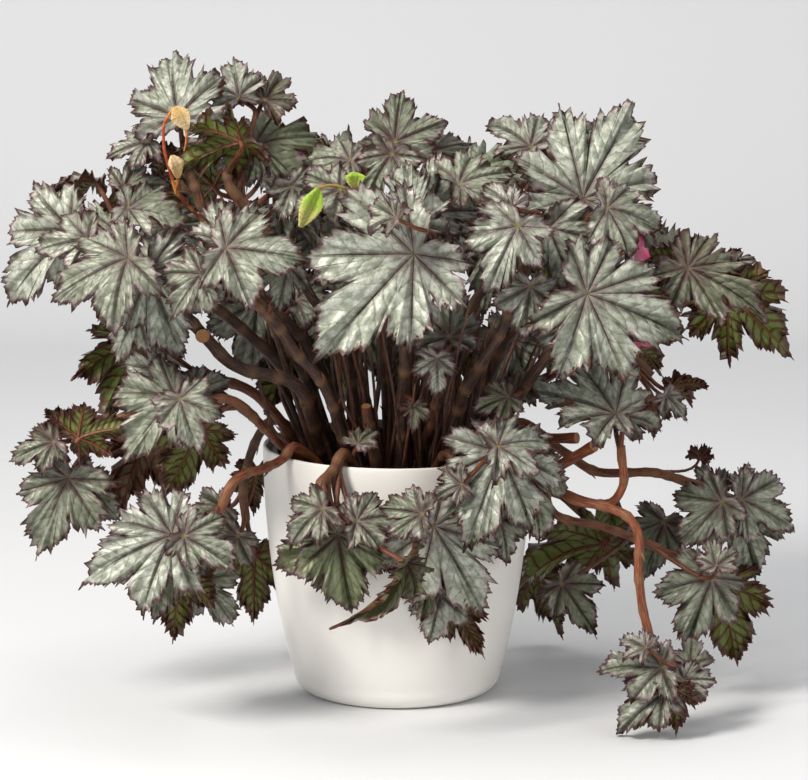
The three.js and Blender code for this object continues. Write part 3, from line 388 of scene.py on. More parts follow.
SHOOTS = [
  {
    "name": "shoot_centre_front", "root": [2, -58], "radius": 5.5,
    "way": [[402, 400, 75], [408, 330, 100], [414, 285, 128]],
    "leaves": [
      [414, 254, 165, 100, 225, 0, 14], [411, 226, 140, 62, 98, 0, 38], [428, 214, 126, 58, 72, 14, 34],
      [396, 218, 150, 28, 150, -20, 45], [441, 232, 152, 32, 20, 20, 40],
      [414, 406, 108, 20, 268, 0, 26, 112],
    ],
  },
  {
    "name": "shoot_right_front", "root": [38, -50], "radius": 5.2,
    "way": [[462, 400, 80], [500, 330, 105], [528, 262, 120]],
    "leaves": [
      [518, 226, 152, 56, 246, -8, 16], [549, 228, 146, 56, 294, 10, 16], [530, 286, 138, 42, 268, 0, 2],
      [512, 208, 132, 34, 140, -10, 42],
    ],
  },
  {
    "name": "shoot_right", "root": [61, -18], "radius": 5.2,
    "way": [[520, 395, 70], [560, 340, 95], [584, 310, 118]],
    "leaves": [
      [587, 294, 150, 88, 340, 8, 14], [600, 276, 122, 46, 62, 10, 36], [571, 326, 120, 40, 255, -10, 8],
      [508, 397, 104, 28, 200, 0, 30, 98], [516, 390, 96, 26, 20, 0, 36, 110],
    ],
  },
  {
    "name": "shoot_left", "root": [-62, -18], "radius": 6,
    "way": [[300, 390, 62], [243, 369, 74], [214, 347, 82], [178, 306, 96], [158, 284, 104]],
    "stubs": [[86, [204, 338, 92], 5.5]],
    "leaves": [
      [150, 270, 128, 74, 286, -6, 4], [152, 262, 118, 34, 88, -4, 46], [128, 258, 122, 64, 202, -14, 28],
      [140, 312, 96, 44, 236, -20, 12],
    ],
  },
  {
    "name": "shoot_left_inner", "root": [-36, -44], "radius": 5.2,
    "way": [[330, 400, 70], [280, 330, 90], [240, 280, 108]],
    "leaves": [
      [224, 243, 136, 52, 42, 0, 42], [226, 248, 146, 60, 352, 0, 26], [224, 268, 142, 46, 196, -10, 26],
      [202, 274, 128, 42, 232, -12, 16], [288, 266, 118, 44, 204, -4, 24],
    ],
  },
  {
    "name": "shoot_far_left", "root": [-72, 8], "radius": 5.4,
    "way": [[290, 380, 20], [220, 310, 40], [150, 270, 62], [104, 248, 76]],
    "leaves": [
      [72, 231, 96, 74, 222, -18, 18], [64, 220, 82, 40, 122, -20, 42], [88, 240, 108, 40, 190, -10, 24],
      [128, 208, 74, 46, 350, 8, 56], [96, 182, 56, 34, 172, 170, 62], [124, 190, 84, 36, 12, 0, 30],
    ],
  },
  {
    "name": "shoot_top_left", "root": [-42, 30], "radius": 5.2,
    "way": [[310, 350, 10], [240, 280, 40], [200, 200, 52], [184, 160, 50]],
    "leaves": [
      [178, 118, 66, 64, 102, -8, 30], [148, 142, 56, 34, 196, -20, 38],
      [170, 158, 40, 32, 176, 178, 40],
    ],
  },
  {
    "name": "shoot_top_left_inner", "root": [-18, 4], "radius": 5,
    "way": [[340, 350, 20], [290, 260, 46], [236, 196, 58], [226, 172, 56]],
    "leaves": [
      [241, 142, 62, 60, 196, 172, 42], [254, 146, 50, 64, 12, 4, 52], [239, 97, 34, 40, 98, 0, 32],
      [264, 100, 12, 36, 52, 12, 34], [292, 186, 40, 44, 300, 0, 30],
    ],
  },
  {
    "name": "shoot_top_centre", "root": [-6, 40], "radius": 5,
    "way": [[386, 340, -10], [392, 240, 10], [396, 178, 20]],
    "leaves": [
      [395, 142, 46, 52, 82, 0, 34], [392, 154, 62, 42, 236, -10, 22], [432, 152, 26, 38, 18, 24, 34],
      [350, 160, 20, 44, 170, -8, 46], [340, 190, 44, 40, 205, -10, 30],
    ],
  },
  {
    "name": "shoot_top_right_inner", "root": [24, 20], "radius": 5,
    "way": [[450, 350, 20], [500, 260, 44], [526, 196, 52]],
    "leaves": [
      [459, 184, 76, 46, 14, 8, 48], [531, 147, 66, 44, 142, 0, 42], [546, 152, 40, 36, 66, 6, 36],
      [560, 152, 20, 46, 42, 10, 36],
    ],
  },
  {
    "name": "shoot_top_right", "root": [54, 2], "radius": 5.2,
    "way": [[500, 350, 34], [556, 280, 66], [580, 232, 76]],
    "leaves": [
      [583, 199, 96, 88, 62, 8, 30], [607, 208, 88, 52, 346, 26, 30],
      [580, 186, 66, 42, 152, -8, 42],
    ],
  },
  {
    "name": "shoot_far_right", "ruddy": 0.3, "root": [78, 10], "radius": 4.6,
    "way": [[518, 400, -8], [590, 350, 40], [650, 310, 76], [680, 287, 84]],
    "leaves": [
      [688, 268, 96, 70, 334, 8, 34], [728, 296, 76, 70, 324, 184, 24], [690, 262, 72, 42, 164, 178, 30],
      [722, 262, 60, 36, 300, 176, 20], [733, 262, 84, 18, 12, 0, 30],
    ],
  },
  {
    "name": "shoot_trail_left", "ruddy": 0.5, "root": [-80, -8], "radius": 4.8,
    "way": [[270, 408, 20], [214, 376, 40], [178, 380, 52], [134, 412, 62], [88, 437, 72]],
    "leaves": [
      [54, 442, 92, 36, 200, -16, 26], [78, 438, 70, 44, 20, 186, 18], [68, 478, 96, 64, 246, -10, 10],
      [76, 480, 84, 46, 318, 14, 14], [64, 430, 60, 28, 120, 176, 26],
    ],
  },
  {
    "name": "shoot_mid_left", "ruddy": 0.45, "root": [-74, -32], "radius": 4.6,
    "way": [*over_rim(-62)[:2], [236, 402, 84], [196, 400, 88]],
    "leaves": [
      [176, 397, 112, 64, 226, -12, 18], [180, 399, 118, 42, 286, 0, 10], [192, 392, 96, 34, 22, 4, 30],
      [201, 430, 76, 58, 244, 186, 8], [150, 438, 62, 60, 238, 200, 20], [142, 342, 62, 68, 241, 186, 20],
      [160, 372, 84, 42, 218, -14, 20],
    ],
  },
  {
    "name": "shoot_hang_left", "ruddy": 0.75, "root": [-62, -50], "radius": 4.6,
    "way": [*over_rim(-50), [236, 480, 130], [212, 526, 138]],
    "leaves": [
      [172, 535, 158, 78, 208, -12, 30], [176, 537, 150, 60, 256, -4, 20], [184, 536, 162, 44, 332, 10, 34],
      [180, 572, 124, 46, 262, 180, 4], [198, 580, 134, 46, 312, 20, 10],
    ],
  },
  {
    "name": "shoot_behind_left", "root": [-76, 24], "radius": 4.6,
    "way": [*over_rim(-112), [244, 480, -40], [246, 520, -50]],
    "leaves": [
      [254, 556, -44, 52, 266, 184, 10], [256, 470, -50, 34, 262, 190, 14], [238, 536, -40, 38, 244, -16, 16],
      [224, 508, -44, 38, 196, -14, 30],
    ],
  },
  {
    "name": "shoot_front_left", "ruddy": 0.25, "root": [-32, -74], "radius": 4.8,
    "way": [*over_rim(-24), [320, 486, 128], [326, 508, 128]],
    "leaves": [
      [323, 509, 142, 38, 216, -14, 30], [354, 518, 140, 24, 82, 0, 34], [357, 521, 148, 40, 6, 10, 26],
      [338, 534, 140, 64, 278, 0, 6], [334, 546, 130, 52, 194, -10, 16], [374, 545, 121, 30, 314, 178, 8],
      [404, 562, 150, 60, 240, 55, 8], [358, 444, 100, 22, 40, 0, 50, 80],
    ],
  },
  {
    "name": "shoot_front_mid", "root": [26, -78], "radius": 4.4,
    "way": [*over_rim(22), [440, 500, 124]],
    "leaves": [
      [434, 526, 146, 74, 300, 6, 12], [422, 514, 140, 36, 166, -20, 28], [430, 566, 128, 44, 262, 4, 4],
      [440, 594, 126, 40, 262, 0, 2], [452, 606, 134, 44, 302, 184, 2],
    ],
  },
  {
    "name": "shoot_rim_right", "root": [56, -60], "radius": 5,
    "way": [*over_rim(46)[:2], around(45, 126, 210)],
    "leaves": [
      [501, 452, 128, 76, 250, 4, 22], [498, 446, 110, 48, 12, 14, 44], [520, 470, 100, 60, 292, 30, 8],
      [462, 484, 146, 26, 206, -20, 20], [500, 520, 124, 38, 284, 30, 4, 3],
    ],
  },
  {
    "name": "shoot_arch_right", "ruddy": 0.7, "root": [76, -30], "radius": 4.6,
    "way": [*over_rim(70), [560, 490, 60], [604, 504, 70], [622, 488, 76], [621, 446, 80]],
    "leaves": [[616, 414, 96, 74, 164, -10, 44], [622, 416, 88, 36, 350, 16, 40]],
    "stubs": [[112, [594, 446, 84], 4.6], [150, [577, 438, 66], 4.4]],
  },
  {
    "name": "shoot_hang_right", "ruddy": 0.8, "root": [66, -46], "radius": 4.6,
    "way": [
      *over_rim(57), [570, 498, 110], [612, 508, 120], [636, 526, 130], [639, 580, 134], [652, 654, 132],
      [666, 684, 134],
    ],
    "leaves": [
      [683, 680, 152, 30, 6, 10, 34], [662, 668, 160, 46, 178, -10, 40, 18],
      [664, 692, 168, 44, 216, -14, 26, 4],
      [676, 690, 124, 34, 272, 180, 20], [690, 666, 142, 30, 78, 0, 44, 26],
      [646, 648, 158, 24, 156, -20, 44, 44],
    ],
  },
  {
    "name": "shoot_low_right", "ruddy": 0.4, "root": [81, -14], "radius": 4.4,
    "way": [*over_rim(84), [552, 512, 24], [606, 529, 34], [660, 548, 42]],
    "leaves": [
      [712, 578, 62, 56, 246, -6, 16], [722, 584, 34, 64, 284, 180, 8],
      [716, 566, 50, 28, 98, 0, 44],
    ],
  },
  {
    "name": "shoot_mid_right", "ruddy": 0.45, "root": [72, 36], "radius": 4.6,
    "way": [*over_rim(106)[:2], [592, 470, -10], [651, 472, 6], [704, 487, 16]],
    "leaves": [
      [741, 500, 34, 50, 334, 8, 24], [722, 502, 48, 48, 226, -8, 16], [736, 504, 42, 64, 284, 4, 10],
      [742, 488, 24, 26, 74, 0, 36], [720, 490, 24, 30, 136, 0, 30], [700, 458, 0, 18, 60, 170, 30],
    ],
  },
  {
    "name": "shoot_back_low_right", "root": [46, 68], "radius": 4.6,
    "way": [*over_rim(142), [566, 500, -84], [600, 528, -80]],
    "leaves": [
      [606, 545, -94, 78, 192, 182, 34], [534, 578, -88, 48, 300, 182, 24], [562, 584, -34, 44, 308, -4, 30],
      [664, 522, -60, 46, 252, -4, 20, 5],
    ],
  },
  {
    "name": "shoot_back_right", "root": [60, 30], "radius": 4.6,
    "way": [[510, 400, -30], [570, 366, -10], [620, 352, 4], [652, 376, 10]],
    "leaves": [
      [600, 346, -8, 40, 262, 184, 14], [636, 344, -14, 40, 314, 200, 40], [672, 386, 0, 28, 12, 178, 30],
      [666, 396, 34, 24, 318, 0, 34], [654, 404, -4, 26, 268, 182, 10],
    ],
  },
  {
    "name": "shoot_middle", "root": [18, -34], "radius": 4.6,
    "way": [[432, 420, 70], [440, 378, 90]],
    "leaves": [[437, 358, 124, 30, 266, 0, 16], [449, 337, 112, 46, 84, 4, 30]],
  },
  {
    "name": "shoot_back_far_left", "root": [-60, 48], "radius": 4.6,
    "way": [[276, 350, -70], [200, 280, -80], [150, 244, -74]],
    "leaves": [
      [118, 232, -50, 60, 205, -30, 36], [146, 206, -60, 60, 112, 190, 44], [170, 226, 0, 56, 330, 10, 58],
      [142, 262, -84, 62, 250, 186, 16],
    ],
  },
  {
    "name": "shoot_back_left", "root": [-44, 62], "radius": 4.8,
    "way": [[320, 320, -90], [262, 230, -104], [236, 198, -104]],
    "leaves": [
      [214, 186, -96, 66, 140, 176, 46], [262, 178, -50, 62, 34, 10, 58], [236, 218, -124, 66, 262, 184, 18],
      [280, 206, -20, 60, 330, 10, 50],
    ],
  },
  {
    "name": "shoot_back_mid_left", "root": [-20, 72], "radius": 4.8,
    "way": [[350, 320, -100], [326, 230, -120], [316, 190, -124]],
    "leaves": [
      [296, 164, -92, 58, 140, 176, 54], [338, 168, -50, 60, 30, 0, 60], [312, 206, -150, 66, 250, 180, 14],
      [318, 232, -30, 60, 292, 0, 40],
    ],
  },
  {
    "name": "shoot_back_centre", "root": [6, 78], "radius": 4.8,
    "way": [[416, 320, -110], [440, 230, -130], [446, 186, -134]],
    "leaves": [
      [430, 160, -110, 58, 112, 180, 54], [470, 172, -60, 62, 4, 10, 60], [440, 204, -160, 68, 272, 180, 14],
      [462, 232, -30, 58, 300, 0, 40],
    ],
  },
  {
    "name": "shoot_back_mid_right", "root": [30, 72], "radius": 4.8,
    "way": [[470, 320, -100], [520, 240, -116], [536, 204, -120]],
    "leaves": [
      [514, 186, -110, 56, 130, 182, 52], [552, 186, -50, 60, 16, 10, 60], [540, 226, -140, 66, 284, 176, 16],
      [504, 236, -20, 58, 250, -4, 40],
    ],
  },
  {
    "name": "shoot_back_far_right", "root": [64, 52], "radius": 4.6,
    "way": [[528, 350, -66], [600, 290, -84], [634, 262, -84]],
    "leaves": [
      [622, 238, -74, 58, 110, 176, 50], [656, 250, -30, 58, 340, 20, 54], [636, 286, -104, 62, 262, 172, 14],
      [604, 304, -50, 56, 250, -4, 24],
    ],
  },
  {
    "name": "shoot_low_left", "root": [-52, 12], "radius": 4.4,
    "way": [[306, 380, 4], [276, 330, 14], [266, 310, 18]],
    "leaves": [
      [258, 304, 34, 56, 262, -4, 16], [292, 346, 20, 56, 250, 184, 10],
      [296, 300, 10, 46, 40, 0, 44],
    ],
  },
  {
    "name": "shoot_inner_left", "root": [-30, 44], "radius": 4.6,
    "way": [[350, 380, -60], [336, 340, -74], [330, 322, -76]],
    "leaves": [
      [322, 316, -62, 60, 224, -20, 24], [346, 330, -96, 64, 262, 180, 20],
      [352, 312, -70, 54, 300, 10, 34],
    ],
  },
  {
    "name": "shoot_inner_centre", "root": [12, 52], "radius": 4.6,
    "way": [[414, 380, -70], [426, 350, -86], [430, 330, -90]],
    "leaves": [[420, 328, -74, 60, 232, -10, 22], [436, 344, -110, 66, 276, 180, 18]],
  },
  {
    "name": "shoot_inner_right", "root": [44, 46], "radius": 4.6,
    "way": [[480, 385, -60], [512, 356, -70], [524, 340, -74]],
    "leaves": [[514, 340, -58, 56, 236, -4, 22], [548, 334, -66, 56, 330, 10, 34]],
  },
  {
    "name": "cut_stem_front", "root": [41, -69], "radius": 6,
    "way": [[456, 450, 76], [476, 438, 86]], "leaves": [],
  },
  {
    "name": "cut_stem_left", "root": [-14, -62], "radius": 5,
    "way": [[368, 420, 72], [366, 406, 76]], "leaves": [],
  },
]


# ---- stems and leaf stalks ----
# Thick brown stems, jointed like cane, each with a ring at every leaf that it has or had. The leaf
# stalks are round, fleshy and short-haired, and swollen where they leave the stem. Stem and stalks are
# one growth. Some stems have cut side branches.
FINE_STEP = 5  # between the rings of a stem
STALK_STEP = 3  # between those of an eased line
STEM_SIDES = 14
STUB = 8  # a cut side branch shorter than this faces the front
BROWN = 0.05  # how ruddy a stem is where the layout doesn't say
JOINT = 2.6  # half the length of a swollen joint
OLD_JOINTS = (20, 34)  # from one to the next, where old leaves fell
BARE = 20  # no joint this near the foot
SWAY = 0.9  # how far a stem wanders off its even curve
SWAY_WAVE = 46
SWAY_EASE = 30  # and how far from its ends it begins to
WITHERED = 0.6  # share of the old joints that still have a papery scale
HAIRS = 2.2  # for each millimetre of leaf stalk
HAIR_RADIUS = 0.09
HAIR_LENGTH = (1.2, 2.4)


def stem_run(shoot):
    """The stem's points in the layout's few steps, then its points and radii in fine ones."""
    x, y = shoot["root"]
    stops = [(x, y, SOIL_TOP - ROOT_DEPTH), (x, y, COLLAR)]
    stops += [seen(*place) if isinstance(place, list) else place for place in shoot["way"]]
    stops = np.array(stops, float)
    last = len(stops) - 1
    padded = np.array([2 * stops[0] - stops[1], *stops, 2 * stops[-1] - stops[-2]])

    def bend(leg, t):
        before, start, end, after = padded[leg : leg + 4]
        out, into = (end - before) / 2, (after - start) / 2
        second = 3 * (end - start) - 2 * out - into
        third = 2 * (start - end) + out + into
        return start + out * t + second * t**2 + third * t**3

    marks = [(0, 0.0)]
    for leg in range(1, last):
        steps = max(1, math.floor(np.linalg.norm(stops[leg + 1] - stops[leg]) / STEM_STEP + 0.5))
        marks += [(leg, k / steps) for k in range(steps)]
    run = [stops[0]] + [bend(leg, t) for leg, t in marks[1:]] + [stops[last]]
    marks.append((last, 0.0))
    rings = len(run) - 1
    radii = [shoot["radius"] * (1 - (1 - STEM_TAPER) * max(0, i - 1) / rings) for i in range(rings + 1)]
    fine, girth = [], []
    for i in range(rings):
        leg, start = marks[i]
        end = marks[i + 1][1] if marks[i + 1][0] == leg else 1.0
        steps = max(2, round(np.linalg.norm(run[i + 1] - run[i]) / FINE_STEP))
        share = np.arange(0, 1, 1 / steps)
        for s in share[share < 0.999]:
            t = start + (end - start) * s
            fine.append(bend(leg, t) if leg else stops[0] + (stops[1] - stops[0]) * t)
            girth.append(radii[i] + (radii[i + 1] - radii[i]) * s)
    return np.array(run), np.array([*fine, stops[last]]), np.array([*girth, radii[-1]])


def back_from_tip(run, distance):
    """The point at a distance back from the stem's tip, with the stem's way there."""
    for i in range(len(run) - 1, 1, -1):
        leg = run[i] - run[i - 1]
        size = np.linalg.norm(leg)
        if distance < size:
            return run[i] - leg / size * distance, leg / size
        distance -= size
    return run[1], np.array([0, 0, 1.0])


def eased(stops):
    """A line through stops at even steps, with its corners taken off."""
    stops = np.array(stops, float)
    along = np.concatenate([[0], np.cumsum(np.linalg.norm(np.diff(stops, axis=0), axis=1))])
    places = np.linspace(0, along[-1], max(6, round(along[-1] / STALK_STEP)))
    line = np.stack([np.interp(places, along, stops[:, axis]) for axis in range(3)], 1)
    for _ in range(3):
        line[1:-1] = (line[:-2] + 2 * line[1:-1] + line[2:]) / 4
    return line


def unit(v):
    return v / np.linalg.norm(v)


class Growth:
    """Gathers tubes into one mesh, with what the stem finish reads: where the grain runs, and tone."""

    def __init__(self):
        self.points, self.quads, self.caps, self.grain, self.tone = [], [], [], [], []
        self.count = 0

    def tube(self, line, radii, tone, sides=12, cut=False):
        """tone is (ruddy, joint, cut) for each ring, or once for all. A cut tube ends in bare wood."""
        line = np.asarray(line, float)
        legs = np.diff(line, axis=0)
        ways = np.array([unit(w) for w in np.vstack([legs[:1], legs[1:] + legs[:-1], legs[-1:]])])
        side = np.cross(ways[0], [0, 1, 0] if abs(ways[0][1]) < 0.9 else [1, 0, 0])
        turn = np.linspace(0, 2 * math.pi, sides, endpoint=False)
        along = np.concatenate([[0], np.cumsum(np.linalg.norm(legs, axis=1))])
        tone = np.broadcast_to(tone, (len(line), 3))
        for i, (at, way, radius) in enumerate(zip(line, ways, radii)):
            side = unit(side - way * (side @ way))
            ring = np.cos(turn)[:, None] * side + np.sin(turn)[:, None] * np.cross(way, side)
            self.points.append(at + ring * radius)
            spots = np.column_stack([np.cos(turn) * radius, np.sin(turn) * radius])
            self.grain.append(np.column_stack([spots, 0 * turn + along[i] * 0.1]))  # so streaks run along
            self.tone.append(np.repeat(tone[i : i + 1], sides, 0))
        for low in range(self.count, self.count + (len(line) - 1) * sides, sides):
            self.quads.append(band(low, low + sides, sides))
        tip = self.count + len(line) * sides
        self.points.append(np.array([line[0]]))
        self.grain.append(np.zeros((1, 3)))
        self.tone.append(tone[:1])
        self.caps.append(fan(tip, self.count, sides, up=False))
        edge, low = ring * radii[-1] * 0.94, tip + 1  # the end's face, a little hollow
        self.points.append(np.vstack([line[-1] + edge, line[-1] - ways[-1] * radii[-1] * 0.12]))
        self.grain.append(np.vstack([edge, [[0, 0, 0]]]))
        self.tone.append(np.tile([tone[-1, 0], 0, float(cut)], (sides + 1, 1)))
        self.quads.append(band(tip - sides, low, sides))
        self.caps.append(fan(low + sides, low, sides))
        self.count = low + sides + 1

    def fuzz(self, line, radii, chance):
        """Short pale hairs all along a tube, each a slim spike with three sides."""
        legs = np.diff(line, axis=0)
        count = round(np.linalg.norm(legs, axis=1).sum() * HAIRS)
        leg = chance.integers(0, len(legs), count)
        way = legs[leg] / np.linalg.norm(legs[leg], axis=1)[:, None]
        out = np.cross(way, chance.normal(size=(count, 3)))
        out /= np.linalg.norm(out, axis=1)[:, None]
        middle = line[leg] + legs[leg] * chance.uniform(0, 1, (count, 1))
        root = middle + out * radii[leg][:, None] * 0.9
        aside = np.cross(way, out)
        way_out = out + 0.3 * chance.normal(size=(count, 3))
        tip = root + way_out * chance.uniform(*HAIR_LENGTH, (count, 1))
        feet = [root + HAIR_RADIUS * (way * math.cos(a) + aside * math.sin(a)) for a in (0, 2.1, 4.2)]
        self.points.append(np.stack([*feet, tip], 1).reshape(-1, 3))
        self.grain.append(np.zeros((4 * count, 3)))
        self.tone.append(np.tile([0.7, 1.0, 0.0], (4 * count, 1)))
        start = self.count + 4 * np.arange(count)[:, None, None]
        self.caps.append((start + np.array([[0, 1, 3], [1, 2, 3], [2, 0, 3], [0, 2, 1]])).reshape(-1, 3))
        self.count += 4 * count

    def faces(self):
        return [np.concatenate(self.quads), np.concatenate(self.caps)]


def joints_on(shoot, length):
    """How far back from its tip the stem is swollen: where leaves stand and where old ones fell."""
    chance = np.random.default_rng(round(abs(shoot["root"][0] * 97 + shoot["root"][1] * 31)) + 5)
    places = [NODE_SPACING * i + FIRST_STALK for i in range(len(shoot["leaves"]))]
    at = (places[-1] if places else 0) + 16
    while at < length - BARE:
        places.append(at)
        at += chance.uniform(*OLD_JOINTS)
    return np.array(places)


def grow_stem(growth, shoot):
    """Grows the stem, its old scales and its cut side branches."""
    run, fine, girth = stem_run(shoot)
    steps = np.linalg.norm(np.diff(fine, axis=0), axis=1)
    back = np.concatenate([np.cumsum(steps[::-1])[::-1], [0]])
    apart = np.abs(back[:, None] - joints_on(shoot, back[0])[None, :]).min(1)
    joint = np.exp(-((apart / JOINT) ** 2))
    seed = round(abs(shoot["root"][0] * 13 + shoot["root"][1] * 7))
    sway = np.stack([lumps(fine, SWAY_WAVE, seed + k) for k in range(3)], 1) * SWAY
    sway *= np.clip(np.minimum(back, back[::-1]) / SWAY_EASE, 0, 1)[:, None]
    ruddy = np.clip(shoot.get("ruddy", BROWN) + 0.3 * np.exp(-back / 30), 0, 1)
    tone = np.stack([ruddy, joint, 0 * back], 1)
    growth.tube(fine + sway, girth * (0.93 + 0.2 * joint), tone, STEM_SIDES, cut=not shoot["leaves"])
    chance = np.random.default_rng(seed + 70)
    for place in joints_on(shoot, back[0])[len(shoot["leaves"]) :]:
        if chance.uniform() < WITHERED:  # a papery scale, dry and rolled up
            i = min(max(np.abs(back - place).argmin(), 1), len(fine) - 2)
            way = unit(fine[i + 1] - fine[i - 1])
            out = unit(np.cross(way, chance.normal(size=3)))
            foot = fine[i] + sway[i] + out * girth[i] * 0.8
            scale = eased([foot, foot + 3 * out + 3 * way, foot + 4.5 * out + chance.uniform(5, 10) * way])
            thin = np.interp(np.linspace(0, 1, len(scale)), [0, 0.4, 1], [1.3, 0.9, 0.1])
            growth.tube(scale, thin, (0.6, 1, 0), 6)
    for distance, end, radius in shoot.get("stubs", []):
        start, tip = back_from_tip(run, distance)[0], seen(*end)
        near = fine[np.linalg.norm(fine - tip, axis=1).argmin()]
        if np.linalg.norm(tip - near) < STUB:
            start, tip = near, near + STUB * unit(unit(tip - near) - 1.6 * AHEAD)
        line = start + (tip - start) * np.linspace(0, 1, 12)[:, None]
        swell = np.array([1, 1, 1, 0.99, 0.98, 0.98, 0.97, 0.95, 0.95, 0.98, 1.06, 1.04])
        growth.tube(line, radius * swell, (shoot.get("ruddy", BROWN), 0, 0), STEM_SIDES, cut=True)
    return run


def stalk_line(leaf, hub, start, lean):
    """The line of a leaf stalk, from its joint on the stem up under the blade."""
    reach = np.linalg.norm(hub - start)
    out = unit(unit(hub - start) + 0.5 * lean)
    into = 0.8 * leaf["normal"] + 0.6 * leaf["along"]
    a, b = start, start + out * reach * 0.35
    c, d = hub - into * (reach * 0.35 + 2), hub - 0.3 * leaf["normal"]
    t = np.linspace(0, 1, max(6, round(reach / 5)))[:, None]
    return a * (1 - t) ** 3 + 3 * b * t * (1 - t) ** 2 + 3 * c * t**2 * (1 - t) + d * t**3


def round_notch(line, leaf, hub, others):
    """Takes a stalk that would pierce another blade of its shoot through that blade's open notch."""
    for other, at in others:
        side = (line - at) @ other["normal"]
        for i in np.flatnonzero(side[:-2] * side[1:-1] < 0):
            share = side[i] / (side[i] - side[i + 1])
            spot = (line[i] + (line[i + 1] - line[i]) * share - at) / other["length"]
            x, y = spot @ other["across"], spot @ other["along"]
            if 0.06 < math.hypot(x, y) < 0.62 and y > -1.6 * abs(x):
                behind = at - other["along"] * (0.2 * other["length"] + 3)
                return eased([line[0], behind, (behind + hub) / 2 - leaf["normal"] * 4, line[-1]])
    return line


def grow_stalk(growth, leaf, hub, start, lean, others):
    """Grows a leaf's stalk, its hairs and the two scales at its foot."""
    line = round_notch(stalk_line(leaf, hub, start, lean), leaf, hub, others)
    t = np.linspace(0, 1, len(line))
    swell = 1.22 - 0.22 * t + 0.35 * np.exp(-((t / 0.1) ** 2)) + 0.12 * np.exp(-(((1 - t) / 0.05) ** 2))
    tone = np.stack([0.3 + 0.25 * t, 0.7 * np.exp(-((t / 0.06) ** 2)), 0 * t], 1)
    growth.tube(line, leaf["stalk"] * swell, tone, 9)
    growth.fuzz(line, leaf["stalk"] * swell, np.random.default_rng(leaf["seed"] + 40))
    for side in (-1, 1):  # the two papery scales that the stalk's bud came out of
        out = unit(line[1] - line[0] + side * 0.8 * leaf["across"] + 0.9 * lean)
        tip = start + out * leaf["length"] * 0.14
        scale = eased([start, start + 0.5 * (tip - start) + side * leaf["across"], tip])
        girth = leaf["stalk"] * np.interp(np.linspace(0, 1, len(scale)), [0, 0.4, 1], [1.1, 0.8, 0.05])
        growth.tube(scale, girth, (0.5, 1, 0), 6)


# Brown, streaked bark that turns red-brown to orange towards the leaves, with a scarred tan ring at
# each joint. Where a stem was cut, its end shows orange-brown wood.
bark_skin = Finish("stem_skin")
s = bark_skin
streak_place = s.node("Attribute", {"attribute_name": "grain"}, {}, out=1)
ruddy, joint, cut = s.read("tone")
streaks = s.node("TexNoise", {}, {"Vector": streak_place, "Scale": 1.1, "Detail": 5.0})
specks = s.grain(1.4, 3.0)
base = s.blend(streaks.fade(0.35, 0.65), colour(26, 15, 11), colour(72, 46, 33))
ruddy_bark = s.blend(streaks.fade(0.3, 0.7), colour(84, 30, 18), colour(164, 88, 44))
base = s.blend(ruddy, base, ruddy_bark)
base = s.blend(joint * 0.75, base, colour(122, 88, 56))
base = s.blend(specks.fade(0.72, 0.6) * 0.35, base, colour(134, 108, 80))
wood = s.blend(s.grain(1.5, 4.0), colour(132, 80, 42), colour(200, 146, 90))
s.set("Base Color", s.blend(cut, base, wood))
s.set("Roughness", 0.45 + 0.25 * streaks)
s.relief(streaks + 0.5 * specks, 0.5)

# ---- leaves ----
# Each leaf is a thin blade on a round stalk that joins it at the hub. Its lobes have a strong vein
# each, with side veins that end in the margin's teeth. The upper side is silver with purple along the
# veins, the underside olive green with maroon veins, and the frilled margin is maroon all round.
SEVEN_LOBES = [(-128, 0.46), (-84, 0.58), (-42, 0.7), (0, 1), (43, 0.83), (87, 0.69), (131, 0.56)]
FIVE_LOBES = [(-106, 0.52), (-52, 0.68), (0, 1), (55, 0.8), (112, 0.62)]
BAY = 0.68  # reach of a bay in the layout, as a share of the lobes beside it
SLIT = 0.56  # the same for the narrow bays of the real blade, give or take a little
NOTCH = 0.12  # reach of the notch behind the hub
LARGE = 67  # leaves from this length on have seven lobes
BLADE = 1.0  # thickness in the layout
THIN = 0.3  # half the thickness of the real blade
VEIN_ANGLE = math.radians(48)  # between a lobe's vein and its side veins
VEIN_SPACING = 0.13  # between side veins, as a share of the leaf's length


def draw(seed):
    """The layout's repeatable draws between -1 and 1."""
    s = seed * 7919 + 104729
    while True:
        s = s * 16807 % 2147483647
        yield s / 2147483647 * 2 - 1


def leaf_form(length, seed):
    """The lobes of a leaf, each with its angle, reach and droop, and how the whole blade is bent."""
    nexts = draw(seed)
    lobes = [
        (math.radians(angle + 4 * next(nexts)), share * (1 + 0.07 * next(nexts)), 0.1 * next(nexts))
        for angle, share in (SEVEN_LOBES if length >= LARGE else FIVE_LOBES)
    ]
    bends = {"rise": (0.2, 0.05), "droop": (0.36, 0.12), "fold": (0.1, 0.03)}
    drawn = {bend: usual + most * next(nexts) for bend, (usual, most) in bends.items()}
    return {"lobes": lobes, **drawn}


def make_leaf(row, seed, form=None):
    """A leaf from its row in the layout, with the ways that its face, its tip and its side look."""
    across, down, forward, length, tip, azimuth, elevation = row[:7]
    turn, lift, tip = math.radians(azimuth), math.radians(elevation), math.radians(tip)
    normal = np.array([math.sin(turn) * math.cos(lift), -math.cos(turn) * math.cos(lift), math.sin(lift)])
    shown = RIGHT * math.cos(tip) + UP * math.sin(tip)
    facing = AHEAD @ normal
    base, share = (AHEAD, 1 / facing) if abs(facing) > 0.35 else (normal, 1)
    along = unit(shown - base * (shown @ normal) * share)
    return {
        "normal": normal, "along": along, "across": np.cross(along, normal), "length": length,
        "hand": 1 if seed % 2 else -1, "form": form or leaf_form(length, seed),
        "stalk": min(STALK_RADIUS, length * 0.06), "row": row, "seed": seed,
    }


